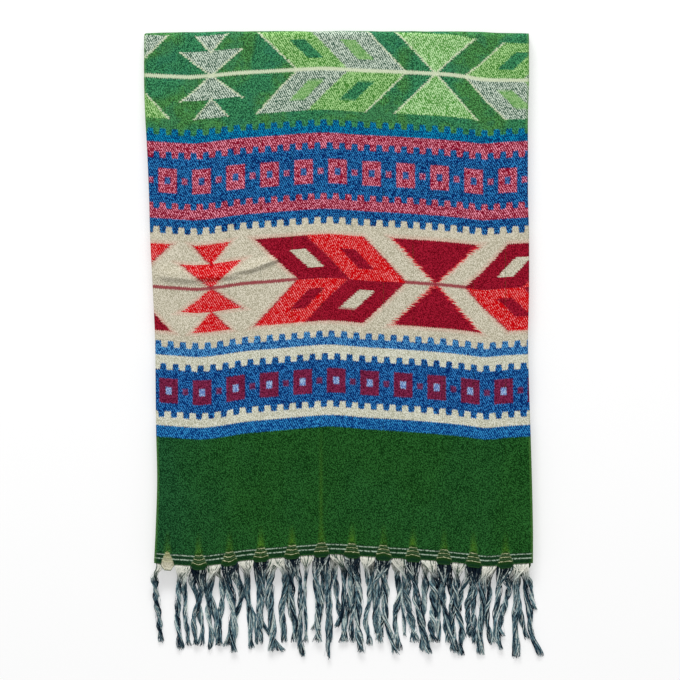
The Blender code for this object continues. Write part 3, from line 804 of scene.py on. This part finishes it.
def strand_lines(strip, per_mm, more, rings, spread, random):
    """Lines of the yarns of one strip's hanks, their distance below the hem, and each yarn's own numbers.

    A hank is two loose strands of yarns that twist round each other. Its roots fan out at the hem, where
    the hanks beside a gather share one pale web and those under it come from behind it.
    """
    lines, belows, traits = [], [], []
    column = 1 if strip == "front" else 2
    for hank in (hank for hank in HANKS if hank[0] == strip):
        count = round(hank[7] * per_mm) + more
        length = hank[6] - hem_down(hank[5])
        tip = front_tip_height(hank) if strip == "front" else HANK_FALLS[-1][2]
        falls = [(row[0], row[column]) for row in HANK_FALLS if row[0] < length - 6] + [(length, tip)]
        gather = float(nearest_gather(hank[1], 0))
        web = abs(hank[1] - gather) > WEB_FROM_GATHER or hank[1] < GATHERS[0][0]
        middle, half = (web_middle(hank[1]), WEB_ROOT) if web else (gather, SHADED_ROOT)
        half = half if hank[1] > GATHERS[0][0] else FIRST_ROOT
        order = (np.arange(count) + random.uniform(0.2, 0.8, count)) / count * 2 - 1
        random.shuffle(order)
        turns = random.uniform(1.2, 3.0) * random.choice([-1, 1])
        start_turn = random.uniform(0, 6.3)
        wave, wave_turn, bend = random.uniform(0.3, 1.0), random.uniform(0, 6.3), random.uniform(1.2, 2.6)
        swell, swell_turn = random.uniform(2.0, 3.4), random.uniform(0, 6.3)
        tones = random.permutation(YARN_TONES)
        for number, place in enumerate(order):
            own = length * (1 - 0.05 * random.uniform() ** 2) + random.uniform(-1.5, 1.0)
            below = np.linspace(0, 1, rings) ** 0.92 * own
            share = np.clip(below / length, 0, 1)
            body = hank[7] / 2 * (1 - 0.18 * soft_step(share)) * spread
            body = body * (1 + 0.14 * np.sin(swell * 2 * np.pi * share + swell_turn))
            body = body * (1 + 0.5 * soft_step((share - 0.9) / 0.1))
            turn = start_turn + np.pi * (number % 2) + 2 * np.pi * turns * share
            own_turn = random.uniform(0, 6.3) + 2 * np.pi * turns * share
            own_reach = 0.62 * np.sqrt(random.uniform(0.02, 1.0))
            beside = 0.42 * np.cos(turn) + own_reach * np.cos(own_turn)
            above = 0.42 * np.sin(turn) + own_reach * np.sin(own_turn)
            loose = soft_step(below / (WEB_LENGTH if web else SHADED_ROOT_LENGTH))
            wander = 0.35 * np.sin(random.uniform(6, 16) * share + random.uniform(0, 6.3))
            hanging = hank_line(hank, share) + wave * np.sin(2 * np.pi * bend * share + wave_turn)
            hanging = hanging + (body - YARN_RADIUS) * beside + wander
            across = (middle + place * half) * (1 - loose) + hanging * loose
            lift = straight_through(falls, below, 1) + HANK_MIDDLE + 0.6 * body * above * loose
            start = BACK_STRIP_UP + WALL / 2
            if strip == "front":
                start = PANEL_TOP - WALL / 2 + relief(across[:1], hem_down(across[:1]))[0]
            sunk = soft_step(below / 6)
            lift = np.maximum(lift * sunk + start * (1 - sunk), YARN_RADIUS * 0.8 + 0.05)
            edge = gather_dip(across, HEM) * (1 - soft_step(below / 12))
            down = hem_down(across) + edge + below - ROOT_INSIDE
            lines.append(placed(across, down, lift))
            belows.append(below)
            tone = np.clip(tones[number % 2] + random.uniform(-0.45, 0.45), 0, 1)
            traits.append((tone, 1.0 if web else 0.0))
    return np.array(lines), np.array(belows), np.array(traits)


def yarn_fringe(strip, seed, material):
    """One strip's fringe: hanks of loosely twisted yarns with a few stray fibres round each."""
    random = np.random.default_rng(seed)
    parts = (
        # name, how many for each mm of a hank, how many more, rings, sides, spread, radius
        ("yarns", YARNS_PER_MM, 0, YARN_RINGS, YARN_SIDES, YARN_SPREAD, YARN_RADIUS),
        ("fibres", 0, FIBRES_PER_HANK, FIBRE_RINGS, FIBRE_SIDES, FIBRE_SPREAD, FIBRE_RADIUS),
    )
    made = []
    for name, per_mm, more, rings, sides, spread, radius in parts:
        lines, below, traits = strand_lines(strip, per_mm, more, rings, spread, random)
        mesh = copied_tube(f"{strip}_{name}", len(lines), sides, rings)
        thickness = radius * (0.8 + 0.4 * random.uniform(size=(len(lines), 1)))
        taper = 1 - 0.45 * soft_step((np.linspace(0, 1, rings) - 0.94) / 0.06)
        radii = thickness * taper * (1 + 0.3 * soft_step(1 - below / 12)) * MM
        tube, ring = tube_points(mesh, len(lines), sides, lines, radii)
        turn = read_layer(mesh, "side") / sides
        add_vectors(mesh, "yarn", traits[tube, 0], below[tube, ring], turn)
        add_vectors(mesh, "place", traits[tube, 1], radius, 0.0)
        made.append(mesh)
    bm = bmesh.new()
    for mesh in made:
        bm.from_mesh(mesh)
    joined = bpy.data.meshes.new(f"yarn_fringe_{strip}")
    bm.to_mesh(joined)
    bm.free()
    return finished_piece(f"yarn_fringe_{strip}", joined, material, "fringe_yarn", f"fringe_{strip}")


class Value:
    """The output of a material's node, for use in sums."""

    def __init__(self, finish, socket):
        self.finish = finish
        self.socket = socket

    def math(self, operation, *others, clamp=False):
        return self.finish.math(operation, self, *others, clamp=clamp)

    def __add__(self, other):
        return self.math("ADD", other)

    def __radd__(self, other):
        return self.math("ADD", other)

    def __sub__(self, other):
        return self.math("SUBTRACT", other)

    def __rsub__(self, other):
        return self.finish.math("SUBTRACT", other, self)

    def __mul__(self, other):
        return self.math("MULTIPLY", other)

    def __rmul__(self, other):
        return self.math("MULTIPLY", other)

    def __abs__(self):
        return self.math("ABSOLUTE")

    def least(self, other):
        return self.math("MINIMUM", other)

    def most(self, other):
        return self.math("MAXIMUM", other)

    def past(self, edge, blur):
        """1 where this value is past an edge and 0 before it, over a blur."""
        if isinstance(edge, Value):
            return (self - edge).past(0.0, blur)
        return self.math("MULTIPLY_ADD", 1 / blur, 0.5 - edge / blur, clamp=True)

    def short_of(self, edge, blur):
        return 1 - self.past(edge, blur)

    def within(self, low, high, blur):
        return self.past(low, blur) * self.short_of(high, blur)


class Finish:
    """One material: its nodes, and its Principled shader."""

    def __init__(self, name, roughness, sheen):
        self.material = bpy.data.materials.new(name)
        self.material.use_nodes = True
        self.tree = self.material.node_tree
        self.shader = self.tree.nodes["Principled BSDF"]
        self.shader.inputs["Roughness"].default_value = roughness
        self.shader.inputs["Sheen Weight"].default_value = sheen
        self.shader.inputs["Sheen Roughness"].default_value = SHEEN_ROUGHNESS
        self.shader.inputs["Specular IOR Level"].default_value = SPECULAR_LEVEL

    def node(self, kind, settings, values, output=0):
        """Any node: its settings first, then the values or links of its sockets."""
        made = self.tree.nodes.new(kind)
        for name, setting in settings.items():
            setattr(made, name, setting)
        for socket, value in values.items():
            if isinstance(value, Value):
                self.tree.links.new(value.socket, made.inputs[socket])
            else:
                made.inputs[socket].default_value = value
        return Value(self, made.outputs[output])

    def math(self, operation, *values, clamp=False):
        settings = {"operation": operation, "use_clamp": clamp}
        return self.node("ShaderNodeMath", settings, dict(enumerate(values)))

    def attribute(self, name):
        return self.node("ShaderNodeAttribute", {"attribute_name": name}, {}, "Vector")

    def parts(self, vector):
        split = self.node("ShaderNodeSeparateXYZ", {}, {0: vector})
        return [Value(self, socket) for socket in split.socket.node.outputs]

    def vector(self, x, y, z):
        return self.node("ShaderNodeCombineXYZ", {}, {0: x, 1: y, 2: z})

    def random_cells(self, place):
        return self.node("ShaderNodeTexWhiteNoise", {"noise_dimensions": "2D"}, {"Vector": place})

    def noise(self, place, scale, detail=1.0, roughness=0.5):
        settings = {"noise_dimensions": "2D"}
        values = {"Vector": place, "Scale": scale, "Detail": detail, "Roughness": roughness}
        return self.node("ShaderNodeTexNoise", settings, values)

    def mixed(self, under, over, share):
        """One colour over another by a share."""
        return self.node("ShaderNodeMix", {"data_type": "RGBA"}, {0: share, 6: under, 7: over}, 2)

    def tinted(self, colour, lightness):
        """A colour made lighter or darker by a value round 1."""
        settings = {"data_type": "RGBA", "blend_type": "MULTIPLY"}
        grey = self.node("ShaderNodeCombineColor", {}, {0: lightness, 1: lightness, 2: lightness})
        return self.node("ShaderNodeMix", settings, {0: 1.0, 6: colour, 7: grey}, 2)

    def dress(self, colour, height, strength, distance):
        """Feeds the shader its colour and its fine relief."""
        values = {"Height": height, "Strength": strength, "Distance": distance}
        bump = self.node("ShaderNodeBump", {}, values)
        self.tree.links.new(colour.socket, self.shader.inputs["Base Color"])
        self.tree.links.new(bump.socket, self.shader.inputs["Normal"])
        return self.material


def shade(red, green, blue):
    """A screen colour, 0 to 255, as the shader's own light values."""
    channels = [value / 255 for value in (red, green, blue)]
    linear = [c / 12.92 if c <= 0.04045 else ((c + 0.055) / 1.055) ** 2.4 for c in channels]
    return (*linear, 1.0)


def only_one(first, second):
    """1 where just one of two masks is 1."""
    return first + second - first * second * 2


class Weave:
    """The woven pattern on the cloth's own threads and rows."""

    def __init__(self, finish):
        self.finish = finish
        self.place = finish.attribute("woven")
        self.thread, self.row, _ = finish.parts(self.place)
        self.edge, self.apart, self.groove = finish.parts(finish.attribute("place"))
        self.above_hem, _, _ = finish.parts(finish.attribute("hem"))
        self.patch = finish.noise(self.place, 0.045, 2.0, 0.6)
        self.ragged = finish.noise(self.place, 0.5, 1.0, 0.5) - 0.5
        lean = finish.noise(self.place, 0.02, 1.0) * 2.0
        hairs = finish.vector(self.thread * 0.12, self.row * 0.85, 0.0)
        self.hairs = finish.noise(hairs, 1.0, 1.0, 0.5) - 0.5
        self.slant = self.thread * TWILL_TURN[0] - self.row * TWILL_TURN[1] + lean
        along = self.thread * TWILL_ALONG[0] + self.row * TWILL_ALONG[1]
        self.grain = finish.noise(finish.vector(self.slant * 1.9, along * 1.5, 0.0), 1.0, 1.0, 0.6)
        line = (self.slant * FLOATS_ACROSS).math("FLOOR")
        float_along = (along * FLOATS_ALONG + line * FLOAT_OFFSET).math("FLOOR")
        self.float = finish.random_cells(finish.vector(line, float_along, 0.0)) - 0.5
        self.speck = finish.noise(self.place, 0.95, 1.0, 0.6)
        self.tone = finish.noise(self.place, 0.022, 1.0)
        self.cool = finish.noise(finish.vector(self.thread * 0.016, self.row * 0.009, 0.0), 1.0, 1.0)
        self.twill = (self.slant * (2 * math.pi)).math("SINE")
        warp = (self.thread * (2 * math.pi / WARP_PITCH)).math("SINE")
        self.rough_row = self.row + self.ragged * 1.3 + warp * 0.45
        self.rough_thread = self.thread + (self.speck - 0.5) * 2.4

    def twilled(self, dark, light, line=0.5, cover=0.36):
        """A ground whose diagonal lines show: light threads cover a share of the dark ones."""
        share = self.twill * line + self.float * 2.2 + (self.grain - 0.5) * 1.1
        share = share + (self.patch - 0.5) * 0.25 + cover
        return self.finish.mixed(shade(*dark), shade(*light), share.math("MULTIPLY", 1.0, clamp=True))

    def napped(self, dark, light, cover=0.5):
        """A ground whose brushed nap hides its threads."""
        share = self.float * 1.2 + (self.grain - 0.5) * 1.8 + (self.speck - 0.5) * 2.5
        share = share + (self.patch - 0.5) * 0.5 + cover
        return self.finish.mixed(shade(*dark), shade(*light), share.math("MULTIPLY", 1.0, clamp=True))

    def teeth(self, first, pitch):
        along = ((self.rough_thread - first) * (1 / pitch)).math("FRACT") * pitch
        return along.within(0.3, TOOTH_WIDTH, 0.7)

    def grounds(self):
        """The colours of the bands, from the top fold to the hem."""
        grounds = {
            "green": self.napped((16, 70, 46), (68, 148, 98)),
            "blue": self.twilled((0, 30, 90), (50, 138, 200), 0.8, 0.08),
            "sea_blue": self.twilled((0, 52, 102), (14, 146, 190), 0.8, 0.12),
            "pale_blue": self.twilled((0, 56, 120), (90, 166, 220), 0.7, 0.2),
            "deep_blue": self.twilled((0, 36, 98), (52, 134, 200), 0.7, 0.1),
            "last_blue": self.twilled((0, 50, 114), (54, 148, 208), 0.7, 0.1),
            "pale_cream": self.napped((176, 176, 152), (226, 226, 210)),
            "pink": self.twilled((130, 4, 38), (248, 156, 178), 0.8, -0.14),
            "cream": self.napped((172, 166, 142), (220, 213, 193)),
            "low_green": self.napped((7, 48, 10), (44, 102, 44), 0.42),
            "maroon": self.napped((104, 0, 18), (166, 26, 50)),
            "red": self.twilled((200, 0, 8), (255, 158, 158), 1.2, -0.78),
        }
        finish = self.finish
        teal = self.napped((2, 44, 26), (40, 98, 66), 0.42)
        share = self.thread.short_of(190.0, 90.0) * 0.5 + self.cool.past(0.52, 0.16) * 0.1
        grounds["low_green"] = finish.mixed(grounds["low_green"], teal, share)
        warm = self.tone.past(0.5, 0.12) * 0.5
        colour = finish.mixed(grounds["green"], self.napped((48, 84, 26), (96, 158, 66)), warm)
        cool = self.patch.past(0.56, 0.1) * 0.4
        colour = finish.mixed(colour, self.napped((14, 62, 52), (48, 124, 98)), cool)
        for row, depth, first, pitch, below in BAND_EDGES:
            edge = row + self.teeth(first, pitch) * depth if depth else row
            colour = finish.mixed(colour, grounds[below], self.rough_row.past(edge, 0.8))
        return colour, grounds

    def framed_squares(self, colour):
        low = self.row.math("GREATER_THAN", (SQUARE_ROWS[0] + SQUARE_ROWS[1]) / 2)
        line = low * (SQUARE_ROWS[1] - SQUARE_ROWS[0]) + SQUARE_ROWS[0]
        first = low * (SQUARE_FIRST[1] - SQUARE_FIRST[0]) + SQUARE_FIRST[0]
        half_pitch = low * ((SQUARE_PITCH[1] - SQUARE_PITCH[0]) / 2) + SQUARE_PITCH[0] / 2
        beside = (self.rough_thread - first).math("PINGPONG", half_pitch)
        above = abs(self.rough_row - line)
        square = (SQUARE_HALF[0] - beside).least(SQUARE_HALF[1] - above).past(0.0, 0.8)
        hole = (SQUARE_HOLE[0] - beside).least(SQUARE_HOLE[1] - above).past(0.0, 0.9)
        dot = (DOT_HALF[0] - (half_pitch - beside)).least(DOT_HALF[1] - above).past(0.0, 1.2)
        pink = self.twilled((134, 4, 38), (248, 156, 178), 0.8, -0.14)
        plum = self.napped((80, 8, 38), (134, 44, 80))
        ink = self.finish.mixed(pink, plum, low)
        pale = self.twilled((84, 112, 178), (164, 196, 228))
        centre = self.finish.mixed(self.twilled((6, 40, 96), (70, 124, 184)), pale, low)
        colour = self.finish.mixed(colour, ink, square.most(dot * 0.85))
        return self.finish.mixed(colour, centre, hole)

    def motifs(self, colour, grounds):
        """Arrows, hourglass and stepped triangles on the two lines, each with its ragged outline."""
        finish = self.finish
        low = self.row.math("GREATER_THAN", MOTIF_MIDDLE_ROW)
        stepped = (self.row + self.ragged * 0.7).math("SNAP", WEAVE_STEP) + WEAVE_STEP / 2
        level = stepped - (low * (MOTIF_LINES[1] - MOTIF_LINES[0]) + MOTIF_LINES[0])
        away = abs(level)
        rise = low * (MOTIF_RISES[1] - MOTIF_RISES[0]) + MOTIF_RISES[0]
        fall = low * (MOTIF_FALLS[1] - MOTIF_FALLS[0]) + MOTIF_FALLS[0]
        smooth_level = self.rough_row - (low * (MOTIF_LINES[1] - MOTIF_LINES[0]) + MOTIF_LINES[0])
        height = (smooth_level + rise).least(fall - smooth_level)
        half_repeat = MOTIF_REPEAT / 2
        ragged_thread = self.thread + self.hairs * 4.5 + self.ragged * 1.2
        turned = ragged_thread - HOURGLASS_ACROSS
        mirrored = turned.math("PINGPONG", half_repeat)
        glass_across = (self.thread - HOURGLASS_ACROSS).math("PINGPONG", half_repeat)
        slide = mirrored - away

        slant = math.sqrt(0.5)
        arrow_side = (slide - ARROW_FROM).least(ARROW_TO - slide) * slant
        split = abs(slide - ARROW_SPLIT) * slant
        arrow = arrow_side.least(height)
        glass_side = (away - glass_across) * slant + self.hairs * (low * 6.0 + 3.0)
        glass = glass_side.least(height)
        beside = abs(ragged_thread - STEPPED_ACROSS)
        wide = (away * WIDE_TRIANGLE[0] - beside) * WIDE_TRIANGLE[1]
        tall = ((away - TRIANGLE_STEP) * TALL_TRIANGLE[0] - beside) * TALL_TRIANGLE[1]
        stepped_shape = wide.least(TRIANGLE_FOOT - away).most(tall.least(height))
        diamond = (slide - DIAMOND_NEAR[0]).least(DIAMOND_NEAR[1] - slide)
        diamond = diamond.most((slide - DIAMOND_FAR[0]).least(DIAMOND_FAR[1] - slide)) * slant
        diamond = diamond.least(away - DIAMOND_ROWS[0]).least(DIAMOND_ROWS[1] - away)

        to_right = (turned + half_repeat).math("FLOORED_MODULO", MOTIF_REPEAT).past(half_repeat, 0.01)
        lower = level.past(0.0, 0.01)
        near = slide.short_of(ARROW_SPLIT, 0.5)
        plain = 1 - only_one(only_one(to_right, lower), near)

        solid = finish.mixed(self.twilled((60, 124, 42), (168, 212, 140), 0.6, 0.36), grounds["maroon"], low)
        hatch = finish.mixed(self.twilled((56, 90, 72), (208, 222, 204), 0.8, 0.38), grounds["red"], low)
        solid_hole = finish.mixed(grounds["green"], grounds["cream"], low)
        hatch_hole = finish.mixed(self.twilled((96, 150, 80), (152, 192, 130)), grounds["maroon"], low)
        outline = finish.mixed(shade(214, 222, 190), shade(150, 30, 44), low)
        light = finish.mixed(self.twilled((76, 142, 56), (188, 226, 166), 0.6, 0.36), grounds["maroon"], low)

        arms = finish.mixed(hatch, solid, plain)
        holes = finish.mixed(hatch_hole, solid_hole, plain)
        arms = finish.mixed(arms, holes, diamond.past(0.0, 0.9))
        halo = arrow.most(glass).most(stepped_shape).past(-2.0, 5.5) * low * 0.4
        colour = finish.mixed(colour, shade(226, 142, 132), halo)
        colour = finish.mixed(colour, arms, arrow.past(0.0, 0.8))
        colour = finish.mixed(colour, light, glass.past(0.0, 0.8))
        colour = finish.mixed(colour, hatch, stepped_shape.past(0.0, 0.8))

        rims = abs(arrow_side).least(abs(glass_side)).least(split.most(1 - low * 5))
        rims = rims.least(abs(wide).most(away - 24.5)).least(abs(tall).most(22.0 - away))
        rimmed = rims.short_of(0.75, 0.7) * height.past(-0.5, 0.8) * self.grain.past(0.36, 0.12)
        rimmed = rimmed * arrow.most(glass).most(stepped_shape).past(-1.2, 0.5)
        rimmed = rimmed * (1 - low * plain * 0.9)
        colour = finish.mixed(colour, outline, rimmed * (0.85 - low * 0.1))

        glow = abs(glass_side + self.ragged * 2.0).short_of(1.0, 1.1) * height.past(-0.3, 0.8) * low
        colour = finish.mixed(colour, shade(224, 34, 46), glow * self.speck.past(0.45, 0.2) * 0.9)
        line = abs(smooth_level).short_of(LINE_HALF, 1.1)
        line = line * (1 - arrow.past(0.0, 1.0) * low)
        line_colour = finish.mixed(shade(208, 218, 186), shade(146, 46, 60), low)
        return finish.mixed(colour, line_colour, line * 0.92)

    def hem(self, colour):
        """Painted highlights on the puckers and one ridge above the hem, broken pale bars above the hem, and
        a dark tab with three bright curved lines at each gather.
        """
        finish = self.finish
        # Painted highlight: yellow-green light on the puckers that rise from each gather, fading upwards.
        near = self.row.past(LIT_FLARE_MIDDLE, LIT_FLARE_ROWS)
        flare = self.apart.short_of(near * 2.4, 6.0) * near * self.row.short_of(514.0, 8.0)
        flare = flare * (self.patch * 1.6 + self.speck * 2.4 - 1.3)
        colour = finish.mixed(colour, shade(92, 140, 34), flare.math("MULTIPLY", 0.9, clamp=True))
        # Painted highlight: the cloth lightens to yellow-green along the low ridge that runs up from one
        # gather.
        beside_lit_streak = abs(self.thread - LIT_STREAK_THREAD)
        lit_streak = beside_lit_streak.short_of(1.0, 4.0) * self.row.within(*LIT_STREAK_ROWS, 60.0)
        colour = finish.mixed(colour, shade(72, 116, 30), lit_streak * self.speck * 0.8)
        between = self.row.within(512.0, 522.0, 1.2)
        colour = finish.mixed(colour, shade(10, 38, 24), between * 0.7)
        dashes = finish.noise(finish.vector(self.thread * 0.42, self.row * 0.35, 0.0), 1.0, 2.0, 0.7)
        for row, half in BARS:
            bar = abs(self.row + self.ragged * 0.8 - row).short_of(half, 0.8)
            shown = dashes.past(0.44, 0.16) * 0.74 + 0.1
            colour = finish.mixed(colour, shade(192, 214, 192), bar * shown)
        first = self.thread.short_of(FIRST_TAB_THREAD, 1.0)
        dome = (self.row - TAB_TOP).most(0.0).math("SQRT") * TAB_SPREAD
        bell = dome - self.apart + self.ragged * 1.4 - first * 1.6
        tab = bell.past(0.0, 1.2)
        low = self.row.past(522.5, 3.0)
        cloth = finish.mixed(shade(28, 62, 16), shade(14, 46, 28), low)
        tan = finish.mixed(shade(134, 134, 84), shade(228, 222, 200), self.row.past(519.0, 14.0))
        tan = finish.mixed(tan, shade(120, 116, 84), dashes.past(0.56, 0.1) * 0.45)
        cloth = finish.mixed(cloth, tan, first)
        colour = finish.mixed(colour, cloth, tab * 0.88)
        rim = abs(bell).short_of(0.3, 0.7) * self.row.within(511.0, 521.0, 3.0) * dashes.past(0.4, 0.2)
        colour = finish.mixed(colour, shade(180, 200, 150), rim * 0.3)
        for row in TAB_LINES:
            line = abs(self.row + self.ragged * 1.4 - row).short_of(0.24, 0.55) * tab
            colour = finish.mixed(colour, shade(228, 230, 184), line * (dashes * 2.0 - 0.3))
        last = self.above_hem.short_of(0.9, 0.6)
        return finish.mixed(colour, shade(56, 96, 50), last * 0.6)

    def folds(self, colour):
        """Lighter nap on the folded edges of the green grounds, partly wear and partly a painted highlight,
        and painted shade in the layers' grooves.
        """
        finish = self.finish
        green = self.row.short_of(92.0, 3.0).most(self.row.past(396.0, 3.0))
        # Painted highlight, with some wear: the green grounds lighten within a couple of millimetres of a
        # folded edge.
        wear_and_edge_highlight = self.edge.short_of(1.6, 2.6) * green
        colour = finish.mixed(colour, shade(104, 152, 74), wear_and_edge_highlight * 0.45)
        return finish.mixed(colour, shade(20, 26, 18), self.groove * 0.5)

    def height(self):
        return self.twill * 0.35 + self.grain * 1.3


def brushed_weave():
    finish = Finish("brushed_weave", 0.95, 0.02)
    weave = Weave(finish)
    colour, grounds = weave.grounds()
    colour = weave.framed_squares(colour)
    colour = weave.motifs(colour, grounds)
    colour = weave.hem(colour)
    colour = weave.folds(colour)
    colour = finish.tinted(colour, weave.speck * 0.5 + 0.75)
    return finish.dress(colour, weave.height(), 0.45, 0.0005)


def fringe_yarn():
    """Dark blue, teal and pale yarns, the pale webs at the roots between the gathers, and painted shade on
    the roots under the gathers.
    """
    finish = Finish("fringe_yarn", 0.9, 0.02)
    tone, below, turn = finish.parts(finish.attribute("yarn"))
    web, _, _ = finish.parts(finish.attribute("place"))
    along = finish.noise(finish.vector(below * 0.14, tone * 60.0, 0.0), 1.0, 2.0, 0.6) - 0.5
    level = tone + along * 1.7
    colour = finish.mixed(shade(16, 34, 50), shade(66, 98, 114), level.past(0.3, 0.24))
    colour = finish.mixed(colour, shade(130, 164, 172), level.past(0.58, 0.2))
    colour = finish.mixed(colour, shade(226, 238, 232), level.past(0.9, 0.2))
    root = below.short_of(14.0, 12.0) * web
    pale = finish.mixed(shade(70, 100, 82), shade(250, 250, 238), level.past(0.2, 0.3))
    colour = finish.mixed(colour, pale, root)
    # Painted shade: the roots under each gather hang in the shadow of its tab and darken to navy.
    shadow = below.short_of(17.0, 16.0) * (1 - web)
    colour = finish.mixed(colour, shade(4, 20, 36), shadow * level.short_of(0.94, 0.16) * 0.9)
    ply = ((turn + below * 0.42) * (4 * math.pi)).math("SINE")
    # Painted shade: the tint follows the same ply twist as the bump, darker between the plies and lighter on
    # them.
    colour = finish.tinted(colour, ply * 0.1 + 0.95)
    return finish.dress(colour, ply, 0.5, 0.0002)


def photo_camera():
    middle = placed(PHOTO_MIDDLE_ACROSS, PHOTO_MIDDLE_DOWN, PANEL_TOP)
    data = bpy.data.cameras.new("camera")
    data.sensor_width = SENSOR
    data.lens = SENSOR * CAMERA_HEIGHT / PHOTO_WIDTH
    camera = bpy.data.objects.new("camera", data)
    camera.location = Vector(middle) + Vector((0, 0, CAMERA_HEIGHT))
    bpy.context.collection.objects.link(camera)
    bpy.context.scene.camera = camera


def studio():
    """A white floor, an even sky and one wide soft light from beyond the top fold."""
    bm = bmesh.new()
    bmesh.ops.create_grid(bm, x_segments=1, y_segments=1, size=FLOOR_SIZE)
    bmesh.ops.translate(bm, verts=bm.verts[:], vec=(0, 0, -FLOOR_UNDER))
    mesh = bpy.data.meshes.new("floor")
    bm.to_mesh(mesh)
    bm.free()
    paper = Finish("white_paper", 0.9, 0.0)
    paper.shader.inputs["Base Color"].default_value = (FLOOR_WHITE, FLOOR_WHITE, FLOOR_WHITE, 1.0)
    paper.shader.inputs["Emission Color"].default_value = shade(255, 255, 255)
    paper.shader.inputs["Emission Strength"].default_value = FLOOR_GLOW
    mesh.materials.append(paper.material)
    floor = bpy.data.objects.new("floor", mesh)
    bpy.context.collection.objects.link(floor)

    world = bpy.data.worlds.new("sky")
    world.use_nodes = True
    sky = world.node_tree.nodes["Background"]
    sky.inputs["Color"].default_value = (1.0, 1.0, 1.0, 1.0)
    sky.inputs["Strength"].default_value = SKY_STRENGTH
    bpy.context.scene.world = world

    data = bpy.data.lights.new("window", "AREA")
    data.shape = "RECTANGLE"
    data.size, data.size_y = WINDOW_SIZE
    data.energy = WINDOW_POWER
    light = bpy.data.objects.new("window", data)
    light.location = WINDOW_PLACE
    light.rotation_mode = "QUATERNION"
    light.rotation_quaternion = (-light.location).to_track_quat("-Z", "Y")
    bpy.context.collection.objects.link(light)
    bpy.context.scene.view_settings.view_transform = "Standard"


photo_camera()
studio()
cloth = brushed_weave()
yarn = fringe_yarn()
top = top_cloth(cloth)
layers = layered_cloth(cloth)
front_fringe = yarn_fringe("front", 11, yarn)
back_fringe = yarn_fringe("back", 23, yarn)
